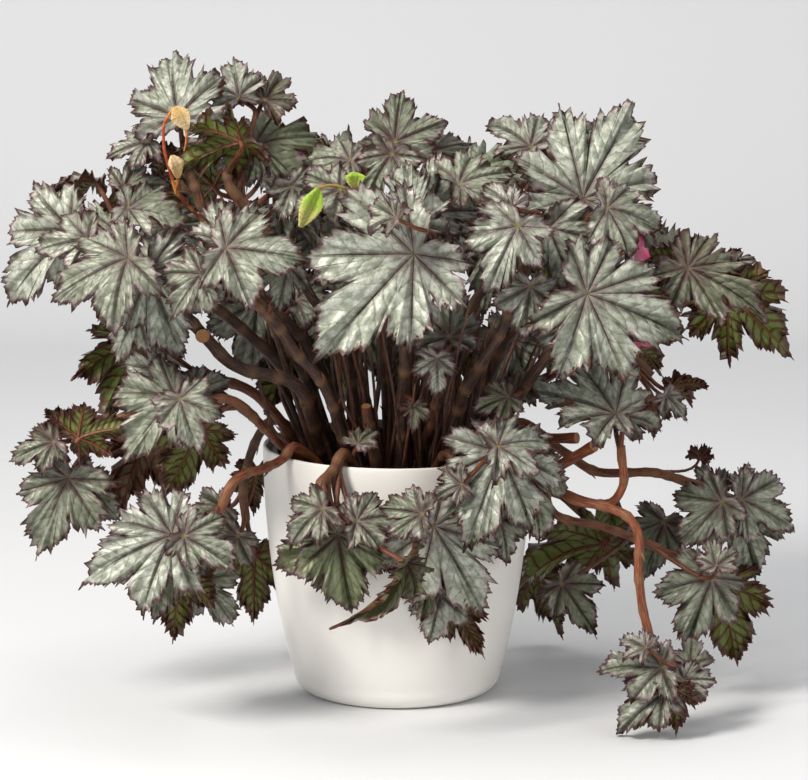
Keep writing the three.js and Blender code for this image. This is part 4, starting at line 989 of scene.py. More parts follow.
def height_of(form, reach, u, bend):
    """The blade's height at a reach from the hub, where u is 0 on a lobe's vein and 1 at the bay."""
    return form["rise"] * reach - (form["droop"] + bend) * reach**2 + form["fold"] * reach * (u * u - 0.3)


def set_out(leaf, hub, x, y, z):
    """Places points of the blade, given in shares of its length, with z in millimetres."""
    size = leaf["length"]
    return (hub + np.outer(x * size * leaf["hand"], leaf["across"]) + np.outer(y * size, leaf["along"])
            + np.outer(z, leaf["normal"]))


def marker_points(leaf):
    """Tips and bays of the leaf as the layout's solid has them, to find where it came to stand."""
    form, lobes = leaf["form"], leaf["form"]["lobes"]
    marks = [(angle, share, 0, bend) for angle, share, bend in lobes]
    for (a, p, m), (b, q, n) in zip(lobes, lobes[1:]):
        marks.append(((a + b) / 2, BAY * (p + q) / 2, 1, (m + n) / 2))
    angle, reach, u, bend = np.array(marks).T
    z = height_of(form, reach, u, bend) * leaf["length"] + BLADE / 2
    return reach * np.sin(angle), reach * np.cos(angle), z


def settled_hub(leaf, corners):
    """The hub's place: the leaf stands at one of a few steps from the one in the layout."""
    x, y, z = marker_points(leaf)
    across, down, forward = leaf["row"][:3]
    best, least = None, math.inf
    for k in range(2 * MOST_NUDGES + 1):
        hub = seen(across, down, forward + NUDGE * ((k + 1) // 2 if k % 2 else -(k // 2)))
        marks = set_out(leaf, hub, x, y, z)
        apart = np.sqrt(((marks[:, None] - corners[None]) ** 2).sum(2).min(1))
        miss = np.minimum(apart, 3).mean()
        if miss < least - 1e-6:
            best, least = hub, miss
    return best


# A tooth's corners, as places along its own stretch of the margin and how far they stand out.
TOOTH = np.array([[0.0, 1.0], [0.14, 0.5], [0.26, 0.64], [0.42, 0.14], [0.56, 0.34], [0.76, 0.0]])
SMALL_TOOTH = np.array([[0.0, 1.0], [0.2, 0.4], [0.42, 0.52], [0.72, 0.0]])
TOOTH_DEPTH = 0.085  # share of the leaf's length
TAPER = 1.06  # how far the drawn-out tip of a lobe reaches, against the layout's blunt one
LONGEST_TAPER = 0.05  # and how much farther that of the longest lobe
BULGE = 0.15  # how far a lobe's sides swell, as a share of the way from its tip to the bay
COARSE = 46  # leaves shorter than this have the smaller teeth
YOUNG = 60  # leaves shorter than this are green round the hub
RIB = 0.8  # how far the main veins stand out below, at the hub
# Waves of the frilled margin: how many go round, how high as a share of the length, and how soon they
# die away from the margin.
FRILLS = [(7, 0.07, 2), (17, 0.055, 3), (39, 0.045, 7), (61, 0.028, 10)]
GUTTER = 0.07  # how far a lobe's halves rise on both sides of its vein
TIP_CURL = 0.14  # how far a lobe's tip may hang
CURLS = 12  # stretches of the margin that hang each in their own way
CREASE = 0.022  # how deep the blade is sunk along each main vein
CREASE_WIDTH = 0.08  # and how far to its sides, as a share of the way to the bay
FOLD = 0.9  # how steep the halves of a narrow, folded blade stand
LEAST_TURN = 0.0002  # in radians, between two corners of the margin as seen from the hub
MARGINS_DRAWN = 10  # margins drawn for each leaf, of which the one that folds back least is kept


def half_lobe(leaf, i, step, chance):
    """The toothed edge from a lobe's tip to the bay on one side of it, as rows of x, y, u and bend, and
    what the veins of that half need: the lobe's way, its reach and the spacing of its side veins."""
    lobes = leaf["form"]["lobes"]
    angle, share, bend = lobes[i]
    if 0 <= i + step < len(lobes):
        other_angle, other, other_bend = lobes[i + step]
        depth = chance.uniform(SLIT - 0.06, SLIT + 0.1)
        edge, reach, low = (angle + other_angle) / 2, depth * (share + other) / 2, (bend + other_bend) / 2
    else:
        edge, reach, low = step * math.pi, NOTCH, 0.0
    way = np.array([math.sin(angle), math.cos(angle)])
    longest = share == max(lobe[1] for lobe in lobes)
    tip = way * share * (TAPER + LONGEST_TAPER * longest)
    bay = np.array([math.sin(edge), math.cos(edge)]) * reach
    chord = bay - tip
    out = unit(np.array([chord[1], -chord[0]]))
    out *= math.copysign(1, out @ (bay - way * (bay @ way)))
    drop = share - (bay @ way - abs(bay[0] * way[1] - bay[1] * way[0]) / math.tan(VEIN_ANGLE))
    teeth = max(2, round(drop / VEIN_SPACING))
    shape = TOOTH if leaf["length"] > COARSE else SMALL_TOOTH
    starts = np.arange(teeth) + chance.uniform(-0.16, 0.16, teeth) * (np.arange(teeth) > 0)
    stretch = np.append(starts[1:], teeth) - starts
    t = (starts[:, None] + shape[:, 0] * stretch[:, None]).ravel() / teeth
    depth = np.repeat(TOOTH_DEPTH * share**0.5 * chance.uniform(0.4, 1.3, teeth), len(shape))
    jag = np.tile(shape[:, 1], teeth) * chance.uniform(0.75, 1.2, len(t)) * depth
    jag *= np.clip(t / 0.26, 0, 1) * np.clip((1 - t) / 0.3, 0, 1)
    bulge = np.sin(math.pi * t**1.8) ** 1.3 - 0.15 * np.sin(math.pi * np.minimum(t / 0.35, 1))
    bulge *= BULGE * np.linalg.norm(chord)
    spots = tip + np.outer(t, chord) + np.outer(0.7 * jag + bulge, out) + np.outer(0.75 * jag, way)
    rows = np.column_stack([spots, t, bend + (low - bend) * t])
    return np.vstack([rows, [*bay, 1, low]]), [*way, share, drop / teeth]


def margin(leaf, chance):
    """The whole outline, from the notch round and back, and for each strip of blade what its veins need."""
    rows, strips = [], []
    for i in range(len(leaf["form"]["lobes"])):
        before, veins = half_lobe(leaf, i, -1, chance)
        rows.append(before[::-1][:-1])
        strips += [veins] * (len(before) - 1)
        after, veins = half_lobe(leaf, i, 1, chance)
        rows.append(after[:-1])
        strips += [veins] * (len(after) - 1)
    return np.concatenate(rows), np.array(strips)


def folded_back(drawn):
    """How much blade would lie double, where long teeth turn back as seen from the hub."""
    here = drawn[0][:, :2]
    there = np.roll(here, -1, axis=0)
    turned_by = here[:, 0] * there[:, 1] - here[:, 1] * there[:, 0]
    return np.maximum(-turned_by * math.copysign(1, turned_by.sum()), 0).sum()


def unfolded(rows):
    """The outline with no corner turning back as seen from the hub, so that no blade lies double."""
    reach = np.hypot(rows[:, 0], rows[:, 1])
    bearing = np.unwrap(np.arctan2(rows[:, 0], rows[:, 1]))
    onward = (np.maximum.accumulate(bearing) + np.minimum.accumulate(bearing[::-1])[::-1]) / 2
    bearing = onward + LEAST_TURN * (np.arange(len(rows)) - len(rows) / 2)
    return np.column_stack([reach * np.sin(bearing), reach * np.cos(bearing), rows[:, 2:]])


def waved(leaf, edge, rings, x, y, v, chance):
    """The height of a blade's corners: its bend and frills, its sunk veins and its hanging tips."""
    size, n = leaf["length"], len(edge)
    u, bend, reach = np.tile(edge[:, 2], rings), np.tile(edge[:, 3], rings), np.hypot(x, y)
    steps = np.linalg.norm(np.diff(edge[:, :2], axis=0, append=edge[:1, :2]), axis=1)
    turn = np.tile(np.cumsum(steps) / steps.sum() * 2 * math.pi, rings)
    z = height_of(leaf["form"], reach, u, bend) * size
    for waves, swell, power in FRILLS:
        count = min(waves + chance.integers(-1, 3), n // 6)
        swell *= size * chance.uniform(0.6, 1.4)
        z += swell * v**power * np.sin(count * turn + chance.uniform(0, 6))
    z += GUTTER * size * reach * np.sin(math.pi * u) ** 2
    z -= CREASE * size * np.sin(math.pi * np.minimum(reach, 1)) * np.exp(-u / CREASE_WIDTH)
    z += FOLD * size * (1 - leaf["width"]) * np.abs(x)
    curl = np.repeat(chance.uniform(0.1, 1.0, CURLS), math.ceil(n / CURLS))[:n]
    return z - TIP_CURL * size * np.tile(curl, rings) * v**4 * (1 - u) ** 2


class Blades:
    """Gathers blades into one mesh, each a closed thin shell, with what the leaf finishes read."""

    SIDES = ("top", "top_hub", "under", "under_hub")

    def __init__(self):
        self.points, self.spot, self.mood = [], [], []
        self.faces = {side: [] for side in self.SIDES}
        self.rib = {side: [] for side in self.SIDES}
        self.count = 0

    def add(self, leaf, hub):
        """Adds a blade: rings from the hub out to its margin, above and below, that meet there."""
        chances = [np.random.default_rng(leaf["seed"] + 900 + 1000 * k) for k in range(MARGINS_DRAWN)]
        edge, strips = min((margin(leaf, chance) for chance in chances), key=folded_back)
        edge = unfolded(edge)
        chance = chances[0]
        size, n = leaf["length"], len(edge)
        rings = 8 if size <= COARSE else 10 if size < LARGE else 13
        v = 1 - (1 - np.arange(1, rings + 1) / rings) ** 1.25  # closer together near the margin
        x, y, v = np.outer(v, edge[:, 0]).ravel(), np.outer(v, edge[:, 1]).ravel(), np.repeat(v, n)
        z = waved(leaf, edge, rings, x, y, v, chance)
        reach, spots = np.hypot(x, y), np.column_stack([x, y])
        edge_mm = np.sqrt(((spots[:, None] - edge[None, :, :2]) ** 2).sum(2).min(1)) * size
        veins = np.tile(strips, (rings, 1))
        off_vein = np.abs(x * veins[:, 1] - y * veins[:, 0]) * size
        rib = RIB * (1 - reach) * np.exp(-((off_vein / 1.2) ** 2))
        thin = THIN * (1 - v**6)
        inner = slice(0, (rings - 1) * n)
        top = set_out(leaf, hub, x * leaf["width"], y, z + thin)
        under = set_out(leaf, hub, x[inner] * leaf["width"], y[inner], (z - thin - rib * (1 - v**3))[inner])
        top[:, 2] = np.maximum(top[:, 2], 3 * THIN)  # a tip that reaches the floor lies on it
        under[:, 2] = np.maximum(under[:, 2], THIN)
        middle = set_out(leaf, hub, np.zeros(2), np.zeros(2), np.array([THIN, -THIN - RIB]))
        low = self.count + 1 + rings * n
        self.points += [middle[:1], top, middle[1:], under]
        spot = np.column_stack([edge_mm, reach, np.full(len(x), leaf["age"])])
        centre = [[size * 0.5, 0, leaf["age"]]]
        self.spot += [centre, spot, centre, spot[inner]]
        mood = [leaf["green"], leaf["red"], 1.0 if size < YOUNG else 0.3]
        self.mood.append(np.tile(mood, (2 + 2 * len(x) - n, 1)))
        here = np.arange(n)
        first = self.count + 1
        flat = np.vstack([[[0, 0]], spots, [[0, 0]], spots[inner]])
        for name, start, hub_at in (("top", first, self.count), ("under", low + 1, low)):
            ring = [start + k * n for k in range(rings - 1)] + [first + (rings - 1) * n]
            quads = np.concatenate([band(a, b, n) for a, b in zip(ring, ring[1:])])
            hubs = fan(hub_at, start, n, up=False)
            if (leaf["hand"] > 0) != (name == "top"):
                quads, hubs = quads[:, ::-1], hubs[:, ::-1]
            for group, faces, strip in ((name, quads, np.tile(here, rings - 1)), (name + "_hub", hubs, here)):
                spots_of = flat[faces - self.count]
                way_x, way_y, share, spacing = strips[strip].T[:, :, None]
                off = np.abs(spots_of[..., 0] * way_y - spots_of[..., 1] * way_x)
                side_vein = spots_of[..., 0] * way_x + spots_of[..., 1] * way_y - off / math.tan(VEIN_ANGLE)
                marks = [off * size, (side_vein - share) / spacing, spacing * size + 0 * off]
                self.faces[group].append(faces)
                self.rib[group].append(np.stack(marks, 2).reshape(-1, 3))
        self.count += 2 + 2 * len(x) - n

    def piece(self, name, nodes, finishes):
        """The blades as one piece, with the first finish above and the second below."""
        groups = [np.concatenate(self.faces[side]) for side in self.SIDES]
        rib = np.concatenate([mark for side in self.SIDES for mark in self.rib[side]])
        marks = {"rib": rib, "spot": np.concatenate(self.spot), "mood": np.concatenate(self.mood)}
        faces = [[groups[0], groups[1]], [groups[2], groups[3]]]
        piece(name, np.concatenate(self.points), faces, finishes, nodes, marks, smooth=70)


class LeafFinish(Finish):
    """A finish of one side of the leaves, with what their mesh carries: the distances to the lobe's
    vein, the next side vein, the margin and the hub, how far the leaf is darkened by age and by painted
    shade, and how green, red and young it is."""

    def __init__(self, name, wander):
        super().__init__(name)
        self.off_vein, side_vein, self.spacing = self.read("rib")
        self.edge, self.reach, self.age = self.read("spot")
        self.green, self.red, self.young = self.read("mood")
        self.patchy, self.broad, self.fine = self.grain(7, 3.0), self.grain(16), self.grain(1.3, 3.0)
        side_vein = side_vein + (self.broad - 0.5) * wander
        apart = abs(side_vein - side_vein.reckon("ROUND", side_vein))
        self.to_side_vein = apart * self.spacing * math.sin(VEIN_ANGLE)
        self.across_vein = self.off_vein / (1.2 - self.reach).most(0.2)
        self.pleat = abs(side_vein.reckon("SINE", side_vein * math.pi)) ** 0.7 * self.spacing
        self.base = None

    def layer(self, share, new):
        """Lays a colour, or a pair of them in patches, over what is there by a share from 0 to 1."""
        if not isinstance(new, Wire) and len(new) == 2:
            new = self.blend(self.patchy, *new)
        self.base = new if self.base is None else self.blend(share, self.base, new)


# The silver upper side: grey-green silver between thin purple veins, shaded purple-brown round the hub,
# with a ragged maroon edge and a pale mauve blush inside it.
silver = LeafFinish("leaf_silver_side", wander=1.0)
s = silver
s.layer(1, s.blend(s.patchy.fade(0.62, 0.38), colour(146, 152, 136), colour(196, 199, 187)))
# Old leaves turn a duller, darker green. The same darkening on leaves low down and behind is painted shade.
s.layer(s.age * 0.75, (colour(70, 82, 56), colour(112, 120, 96)))
s.layer(s.green * 0.85, (colour(66, 82, 30), colour(110, 122, 60)))
s.layer(s.fine.fade(0.42, 0.62) * 0.3, colour(112, 116, 94))
s.layer(s.to_side_vein.fade(0.1, 1.1) * (0.2 + 0.2 * s.broad), colour(84, 78, 70))
middle = (s.reach + (s.broad - 0.5) * 0.5).fade(0.08, 0.42)
# The dark hub is deeper on old leaves, and deeper as painted shade on leaves low down and behind.
s.layer(middle * (0.45 + 0.45 * s.age), (colour(46, 34, 30), colour(76, 70, 54)))
purple = (s.across_vein / 5).fade(0.1, 1.0) * (1.1 - s.reach).most(0.0)
s.layer(purple * (0.2 + 0.45 * s.patchy), colour(104, 72, 78))
s.layer(s.across_vein.fade(0.1, 0.5) * (1.0 - 0.7 * s.reach), colour(66, 40, 42))
s.layer((s.edge + s.broad * 16).fade(6.4, 11.4) * 0.85, (colour(50, 24, 24), colour(106, 70, 68)))
s.layer((s.edge + s.patchy * 5).fade(3.4, 7.0) * s.broad.fade(0.62, 0.42) * 0.65, colour(196, 172, 176))
rim = (s.edge + s.patchy * 4).fade(2.3, 4.6)
s.layer(rim * 0.88, (colour(40, 18, 20), colour(78, 38, 40)))
s.layer(s.red * 0.85, (colour(60, 34, 26), colour(92, 74, 46)))
s.layer(s.reach.fade(0.0, 0.08) * s.young * 0.6, colour(128, 130, 58))
s.set("Base Color", s.base)
s.set("Roughness", 0.34 + 0.25 * s.fine + 0.1 * middle)
s.set("Metallic", 0.2 * (1 - rim) * (1 - middle))
groove = s.across_vein.fade(0.2, 2.4)
s.relief(s.pleat * 0.07 - groove * 0.8 + s.broad * 0.8 + s.patchy * 0.4 + s.fine * 0.2, 1.0)

# The underside: olive green between broad maroon veins, and a wide maroon margin.
olive = LeafFinish("leaf_underside", wander=0.4)
s = olive
s.layer(1, (colour(74, 90, 28), colour(124, 138, 60)))
vein = s.across_vein.fade(0.8, 2.0).most(s.to_side_vein.fade(0.2, 1.3) * 0.85)
s.layer(vein * 0.85, colour(96, 32, 30))
s.layer(s.across_vein.fade(0.3, 0.9) * 0.7, colour(150, 86, 66))
s.layer((s.edge + s.patchy * 7).fade(5.0, 10.0) * 0.85, colour(76, 24, 26))
# Darker brown with age, and darker as painted shade on leaves low down and behind.
s.layer(s.age * 0.25, colour(60, 40, 28))
s.layer(s.red * 0.85, colour(88, 30, 30))
s.set("Base Color", s.base)
s.set("Roughness", 0.4 + 0.2 * s.fine)
s.relief(s.fine * 0.3 + vein * 0.8 - s.pleat * 0.07, 1.0)

# ---- the plant's shoots ----
# Each shoot is grown once: its stem and leaf stalks are one piece and its blades another.
# LOOKS lists leaves that stand out in the front view, by their place: how green, how red and how far
# each one is darkened out of its silver by age and by painted shade, and its width, where a leaf folded
# along its vein is narrower.
LOOKS = {
    (338, 534): (0.9, 0.1, 0.3, 1), (334, 546): (0.9, 0.1, 0.3, 1), (404, 562): (0.9, 0.5, 0.8, 0.42),
    (430, 566): (0.7, 0.3, 0.8, 0.7), (452, 606): (0.2, 0.5, 0.8, 0.7), (414, 406): (0.85, 0, 0.1, 1),
    (508, 397): (0.85, 0, 0.2, 1), (516, 390): (0.85, 0, 0.3, 1), (358, 444): (0.85, 0, 0.2, 1),
    (150, 438): (0.2, 0.8, 0.8, 1), (395, 142): (0, 0.1, 0.95, 1), (432, 152): (0, 0.5, 0.9, 1),
    (392, 154): (0, 0.1, 0.8, 1), (264, 100): (0, 0.6, 0.9, 1), (254, 146): (0.5, 0.1, 0.9, 1),
    (470, 172): (0.5, 0, 0.1, 1), (459, 184): (0.4, 0, 0.1, 1), (688, 268): (0.2, 0.35, 0.8, 0.85),
    (414, 254): (0, 0, 0, 1), (411, 226): (0, 0, 0.1, 1), (583, 199): (0, 0, 0.1, 1),
    (518, 226): (0, 0, 0, 1), (587, 294): (0.1, 0, 0.1, 1), (72, 231): (0, 0, 0, 1),
    (150, 270): (0, 0, 0.1, 1), (178, 118): (0, 0, 0.1, 1), (239, 97): (0, 0, 0.1, 1),
    (616, 414): (0.1, 0, 0, 0.8), (449, 337): (0.1, 0.1, 0.6, 1), (501, 452): (0, 0, 0, 1),
    (434, 526): (0, 0.1, 0.1, 1), (172, 535): (0, 0, 0, 1), (68, 478): (0.2, 0.1, 0.5, 1),
}


def look_of(row, chance):
    """How green and red a leaf is, how far it is darkened by age and by painted shade, and how wide."""
    # The random share is the leaf's own age. Darkening leaves low in the front view and behind the axis, and
    # lightening those far in front, is painted shade.
    aged = chance.uniform(0, 0.5) + 0.3 * (row[1] > 430) + 0.3 * (row[2] < 20) - 0.15 * (row[2] > 100)
    look = [chance.uniform(0, 0.3), chance.uniform(0, 0.12), min(max(aged, 0), 1), 1]
    return LOOKS.get(tuple(row[:2]), look)


seed = 0
chance = np.random.default_rng(77)
for shoot in SHOOTS:
    name = shoot["name"]
    corners = np.array([v.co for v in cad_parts[name].data.vertices]) / MM
    growth, blades = Growth(), Blades()
    run = grow_stem(growth, shoot)
    leaves = []
    for row in shoot["leaves"]:
        seed += 1
        leaf = make_leaf(row, seed)
        leaf["green"], leaf["red"], leaf["age"], leaf["width"] = look_of(row, chance)
        leaves.append((leaf, settled_hub(leaf, corners)))
    for order, (leaf, hub) in enumerate(leaves):
        row = leaf["row"]
        back = row[7] if len(row) > 7 else FIRST_STALK + NODE_SPACING * order
        start, lean = back_from_tip(run, back)
        others = [(other, at) for other, at in leaves if other is not leaf]
        grow_stalk(growth, leaf, hub, start, lean, others)
        blades.add(leaf, hub)
    marks = {"grain": np.concatenate(growth.grain), "tone": np.concatenate(growth.tone)}
    points = np.concatenate(growth.points)
    piece(name + "_stem", points, [growth.faces()], [bark_skin], [name], marks)
    if blades.count:
        blades.piece(name + "_leaves", [name], [silver, olive])

# ---- inner stalks ----
# The thin dark stalks between the thick stems: old leaf stalks that stood on after their blades fell.
# They rise out of the soil in a loose fan and end withered, in under the leaves.
INNER_STALKS = 84
INNER_ROOTS = 66  # how far from the pot's axis they stand at most
chance = np.random.default_rng(404)
growth = Growth()
for _ in range(INNER_STALKS):
    bearing, out = chance.uniform(0, 360), INNER_ROOTS * math.sqrt(chance.uniform(0.02, 1))
    root = around(bearing, out, SOIL_TOP - ROOT_DEPTH / 2)
    lean = around(bearing + chance.uniform(-50, 50), out * chance.uniform(0.3, 1.3), chance.uniform(110, 185))
    sway = np.append(chance.normal(size=2) * 9, 0)
    line = eased([root, root + 0.12 * lean, root + 0.55 * lean + sway, root + lean + 0.4 * sway])
    t = np.linspace(0, 1, len(line))
    girth = chance.uniform(1.3, 2.6) * np.interp(t, [0, 0.05, 0.9, 1], [1.3, 1, 0.7, 0.3])
    ruddy, joint = chance.uniform(0, 0.3) ** 2 * 3 + 0.1 * t, 0.8 * np.exp(-(((t - 0.97) / 0.03) ** 2))
    old = np.stack([ruddy, joint, 0 * t], 1)
    growth.tube(line, girth, old, 8)
marks = {"grain": np.concatenate(growth.grain), "tone": np.concatenate(growth.tone)}
points = np.concatenate(growth.points)
piece("inner_old_stalks", points, [growth.faces()], [bark_skin], [], marks)

# ---- seed capsules ----
# Two sprays on thin stalks: an old one, upper left, with two dry tan capsules, and one with capsules
# that are still green. Each capsule is a papery pod with three wings that are ribbed across.
SPRAY_STALK = 1.3
POD_END = 1.5  # radius of a capsule at its ends
POD_BODY = 0.36  # radius between the wings, as a share of the radius at a wing
POD_SIDES = 48
POD_RINGS = 26
# "from" is how far back from its shoot's tip a spray stands. A capsule goes from its top to its bottom,
# with its radius and how far down it is widest. A tail is the withered end of a capsule.
SPRAYS = [
    {
        "name": "capsules_dry", "shoot": "shoot_top_left", "from": 70, "slot": "capsule_dry",
        "ways": [
            [[176, 193, 92], [164, 150, 108], [163, 124, 112], [174, 107, 112]],
            [[176, 193, 92], [178, 178, 108]],
        ],
        "capsules": [
            ([174, 107, 112], [187, 129, 112], 9, 0.35),
            ([178, 178, 108], [172, 156, 110], 8, 0.6),
        ],
        "tails": [([186, 127, 112], [187, 140, 111], [184, 151, 110])],
    },
    {
        "name": "capsules_green", "shoot": "shoot_centre_front", "from": 34, "slot": "capsule_green",
        "ways": [
            [[396, 246, 132], [376, 214, 138], [358, 192, 138], [332, 184, 140], [318, 188, 142]],
            [[358, 192, 138], [354, 176, 140]],
        ],
        "capsules": [
            ([318, 188, 142], [300, 226, 142], 10, 0.35),
            ([354, 172, 140], [353, 188, 140], 9, 0.2),
        ],
        "tails": [([353, 187, 140], [352, 198, 140], [348, 208, 140])],
    },
]


def pod(start, end, radius, widest, chance):
    """Points, faces and wing marks of one capsule: share of the way, rib wave and how far on a wing."""
    sides, rings = POD_SIDES, POD_RINGS
    way = unit(end - start)
    first = unit(np.array([1.0, 0, 0]) - way * way[0])
    s = np.linspace(0, 1, rings)[:, None]
    turn = np.linspace(0, 2 * math.pi, sides, endpoint=False)[None, :]
    wing = ((1 + np.cos(3 * turn)) / 2) ** 3
    below = np.maximum(s - widest, 0) / (1 - widest)
    reach = np.where(s < widest, (s / widest) ** 0.7, 1 - below**1.8)
    girth = POD_END + (radius - POD_END) * reach * (POD_BODY + (1 - POD_BODY) * wing)
    ribs = 0.05 * radius * wing * reach * np.sin(s * 60 + 3 * turn)
    girth += ribs + 0.04 * radius * chance.normal(size=(1, sides)) * wing
    lean = 0.1 * radius * np.sin(s * math.pi) * wing
    across = np.cross(way, first)
    angle = turn + lean * 0.3
    points = start + (end - start) * s[..., None] * 1.02
    points = points + first * (girth * np.cos(angle))[..., None] + across * (girth * np.sin(angle))[..., None]
    points = np.concatenate([points.reshape(-1, 3), [start, end + way * 0.8]])
    quads = np.concatenate([band(i * sides, (i + 1) * sides, sides) for i in range(rings - 1)])
    last = rings * sides
    ends = np.concatenate([fan(last, 0, sides, up=False), fan(last + 1, last - sides, sides)])
    marks = np.stack([s + 0 * turn, 0 * s + np.cos(3 * turn), 0 * s + wing], 2).reshape(-1, 3)
    return points, quads, ends, np.vstack([marks, [[0, 0, 0], [1, 0, 0]]])


def pod_finish(name, tip, body, ribs):
    """A papery finish: its colour at the top, below, and in the dark ribs and patches."""
    made = Finish(name)
    along, _, wing = made.read("wing")
    base = made.blend(along.fade(0.25, 0.8), tip, body)
    base = made.blend(made.grain(1.6, 4.0).fade(0.6, 0.45) * 0.5, base, ribs)
    made.set("Base Color", made.blend((1 - wing) * 0.4, base, ribs))
    made.relief(made.grain(1.1, 4.0), 0.4)
    return made


POD_FINISHES = {
    "capsule_dry": pod_finish(
        "dry_capsule", colour(226, 204, 156), colour(206, 176, 118), colour(150, 112, 66)
    ),
    "capsule_green": pod_finish(
        "green_capsule", colour(220, 204, 130), colour(160, 190, 62), colour(122, 148, 44)
    ),
}


def thin_stalk(name, first, second):
    """A thin fleshy stalk's finish, in patches of two colours."""
    made = Finish(name)
    made.set("Base Color", made.blend(made.grain(14).fade(0.4, 0.6), first, second))
    made.relief(made.grain(1.2), 0.2)
    return made


STALK_FINISHES = {
    "capsule_dry": thin_stalk("red_stalk", colour(158, 52, 30), colour(200, 132, 58)),
    "capsule_green": thin_stalk("green_stalk", colour(120, 132, 46), colour(166, 104, 54)),
}
runs = {shoot["name"]: stem_run(shoot)[0] for shoot in SHOOTS}
for spray in SPRAYS:
    chance = np.random.default_rng(len(spray["name"]))
    growth = Growth()
    for i, way in enumerate(spray["ways"]):
        stops = [seen(*place) for place in way]
        foot, _ = back_from_tip(runs[spray["shoot"]], spray["from"])
        line = eased(stops if i else [foot, *stops])
        growth.tube(line, SPRAY_STALK * (1.1 - 0.25 * np.linspace(0, 1, len(line))), (0, 0, 0), 8)
    for tail in spray["tails"]:
        line = eased([seen(*place) for place in tail])
        growth.tube(line, np.linspace(1.1, 0.5, len(line)), (0, 0, 0), 8)
    points = [np.concatenate(growth.points)]
    marks, pods, count = [np.zeros((len(points[0]), 3))], [], len(points[0])
    for top, bottom, radius, widest in spray["capsules"]:
        made, quads, ends, wings = pod(seen(*top), seen(*bottom), radius, widest, chance)
        points.append(made)
        pods += [quads + count, ends + count]
        marks.append(wings)
        count += len(made)
    finishes = [STALK_FINISHES[spray["slot"]], POD_FINISHES[spray["slot"]]]
    piece(spray["name"] + "_spray", np.concatenate(points), [growth.faces(), pods], finishes,
          [spray["name"]], {"wing": np.concatenate(marks)})

# ---- flowers ----
# Two small pink begonia flowers on thin stalks at the right, each with four soft petals, two large and
# two small, round a knot of yellow stamens.
FOUR_PETALS = [(-126, 0.7), (-38, 1), (38, 1), (126, 0.7)]  # angle, and size as a share
STAMENS = 16
PETAL_HALF = 0.25  # half a petal's thickness
FLOWERS = [  # each has its shoot, and a row like a leaf's
    ("flower_upper", "shoot_top_right", [632, 252, 110, 15, 20, 10, 20, 6]),
    ("flower_lower", "shoot_right", [640, 337, 118, 14, 10, 16, 10, 20]),
]
petal_skin = Finish("pink_petal", 0.4)
along, across, _ = petal_skin.read("petal")
streak = across.reckon("SINE", across * 34) * 0.5 + 0.5
tint = petal_skin.blend(along, colour(250, 172, 200), colour(228, 66, 126))
petal_skin.set("Base Color", petal_skin.blend(streak * 0.3, tint, colour(196, 28, 88)))
petal_skin.relief(streak + petal_skin.grain(1.0), 0.25)
pollen = Finish("yellow_stamens", 0.55)
pollen.set("Base Color", pollen.blend(pollen.grain(0.8), colour(238, 198, 60), colour(214, 160, 34)))


def petal(flower, hub, angle, share, chance):
    """One petal as a closed thin shell: an oval that is cupped and frilled at its end."""
    steps, width = 14, 11
    s = np.linspace(0, 1, steps)[:, None]
    w = np.linspace(-1, 1, width)[None, :]
    half = 0.36 * np.sqrt(np.clip(np.sin(math.pi * s**0.8), 0, 1)) + 0.05 * (1 - s)
    size = flower["length"]
    out = s * share * (1 - 0.1 * w**2 * s)
    aside = w * half * share
    x = out * math.sin(angle) + aside * math.cos(angle)
    y = out * math.cos(angle) - aside * math.sin(angle)
    z = (0.5 * s - 0.3 * s**2 + 0.22 * w**2 * half) * share * size
    z = z + 0.35 * np.sin(w * 5 + chance.uniform(0, 6)) * s**3
    x, y = (x + 0 * w).ravel(), (y + 0 * w).ravel()
    sheets = [set_out(flower, hub, x, y, (z + lift).ravel()) for lift in (PETAL_HALF, -PETAL_HALF)]
    grid = np.arange(steps * width).reshape(steps, width)
    quads = np.stack([grid[:-1, :-1], grid[:-1, 1:], grid[1:, 1:], grid[1:, :-1]], -1).reshape(-1, 4)
    border = np.concatenate([grid[0, :-1], grid[:-1, -1], grid[-1, :0:-1], grid[:0:-1, 0]])
    rim = np.stack([border, np.roll(border, -1)], 1)
    under = steps * width
    rim = np.column_stack([rim[:, 1], rim[:, 0], rim[:, 0] + under, rim[:, 1] + under])
    faces = np.concatenate([quads[:, ::-1], quads + under, rim[:, ::-1]])
    marks = np.stack([s + 0 * w, w + 0 * s, 0 * (s + w)], 2).reshape(-1, 3)
    return np.concatenate(sheets), faces, np.tile(marks, (2, 1))


for name, shoot, row in FLOWERS:
    chance = np.random.default_rng(row[1])
    flower = make_leaf(row, 1, {"lobes": [], "rise": 0.5, "droop": 0.3, "fold": 0})
    hub = seen(*row[:3])
    growth, knot = Growth(), Growth()
    start, lean = back_from_tip(runs[shoot], row[7])
    line = stalk_line(flower, hub, start, lean)
    growth.tube(line, np.full(len(line), 0.8), (0, 0, 0), 8)
    for _ in range(STAMENS):
        out = unit(flower["normal"] + 0.55 * chance.normal(size=3))
        line = hub + out * np.linspace(0, chance.uniform(2.4, 3.6), 5)[:, None]
        knot.tube(line, np.array([0.2, 0.2, 0.25, 0.55, 0.3]), (0, 0, 0), 6)
    points, petals, marks, count = [], [], [], 0
    for angle, share in FOUR_PETALS:
        made, faces, mark = petal(flower, hub, math.radians(angle), share, chance)
        points.append(made)
        petals.append(faces + count)
        marks.append(mark)
        count += len(made)
    piece(name + "_petals", np.concatenate(points), [petals], [petal_skin], [name],
          {"petal": np.concatenate(marks)})
    for part, finish, kind in ((growth, STALK_FINISHES["capsule_dry"], "_stalk"), (knot, pollen, "_stamens")):
        piece(name + kind, np.concatenate(part.points), [part.faces()], [finish], [name])

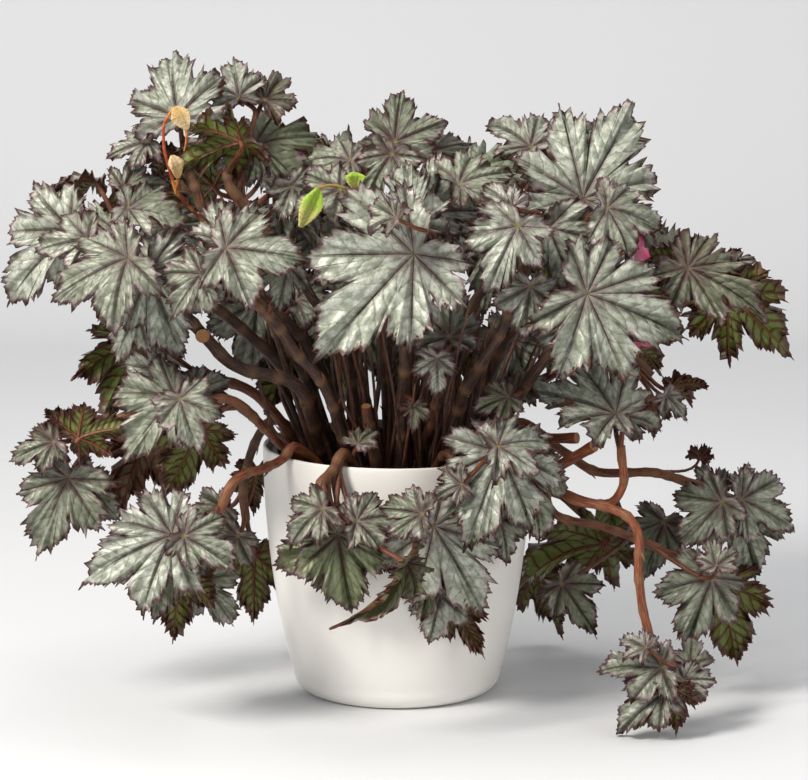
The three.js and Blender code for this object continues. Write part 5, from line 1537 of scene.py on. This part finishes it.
# ---- floor, light and camera ----
# A pale sweep that rises low behind the plant, so that the plant can be looked at from behind as well,
# soft warm lights from the upper left, the right and above, and a level camera that looks a little down.
SWEEP_FRONT = -2600
SWEEP_BACK = 1750
SWEEP_BEND = 450
SWEEP_TOP = 520
SWEEP_HALF = 3200
turn = np.linspace(0, math.pi / 2, 16)
bend = zip(SWEEP_BACK + SWEEP_BEND * np.sin(turn), SWEEP_BEND * (1 - np.cos(turn)))
line = [(SWEEP_FRONT, 0), *bend, (SWEEP_BACK + SWEEP_BEND, SWEEP_TOP)]
sheet = np.array([[x, y, z] for x in (-SWEEP_HALF, SWEEP_HALF) for y, z in line], float)
n = len(line)
mesh = bpy.data.meshes.new("pale_sweep")
mesh.from_pydata((sheet * MM).tolist(), [], [[k, n + k, n + k + 1, k + 1] for k in range(n - 1)])
paper = Finish("pale_paper", 0.9)
paper.set("Base Color", paper.blend(paper.grain(600), colour(225, 226, 228), colour(221, 222, 224)))
mesh.materials.append(paper.material)
mesh.shade_smooth()
sweep = bpy.data.objects.new("pale_sweep", mesh)
bpy.context.scene.collection.objects.link(sweep)


LIGHT_AIM = np.array([0, 0, 0.3])
LIGHT_COLOUR = (1.0, 0.957, 0.895)


def soft_light(name, place, size, power):
    """A square light, with its place and width in metres, that faces the plant."""
    lamp = bpy.data.lights.new(name, "AREA")
    lamp.color = LIGHT_COLOUR
    lamp.size = size
    lamp.energy = power
    made = bpy.data.objects.new(name, lamp)
    bpy.context.scene.collection.objects.link(made)
    made.location = place
    way = LIGHT_AIM - place
    made.rotation_euler = (math.atan2(math.hypot(way[0], way[1]), -way[2]), 0, math.atan2(-way[0], way[1]))


soft_light("key", np.array([-1.5, -1.5, 1.9]), size=0.8, power=80)
soft_light("fill", np.array([1.9, -1.4, 1.0]), size=1.6, power=8)
soft_light("top", np.array([0.3, 0.2, 2.3]), size=0.8, power=11)
bpy.context.scene.view_settings.view_transform = "Standard"
world = bpy.data.worlds.new("studio")
world.use_nodes = True
background = world.node_tree.nodes["Background"]
background.inputs["Color"].default_value = colour(240, 242, 245)
background.inputs["Strength"].default_value = 0.56
bpy.context.scene.world = world

lens = bpy.data.cameras.new("front")
lens.sensor_width = 36
lens.lens = FOCAL / (2 * VIEW_ACROSS) * lens.sensor_width
camera = bpy.data.objects.new("front", lens)
bpy.context.scene.collection.objects.link(camera)
camera.location = EYE * MM
camera.rotation_euler = (math.pi / 2 - PITCH, 0, 0)
bpy.context.scene.camera = camera
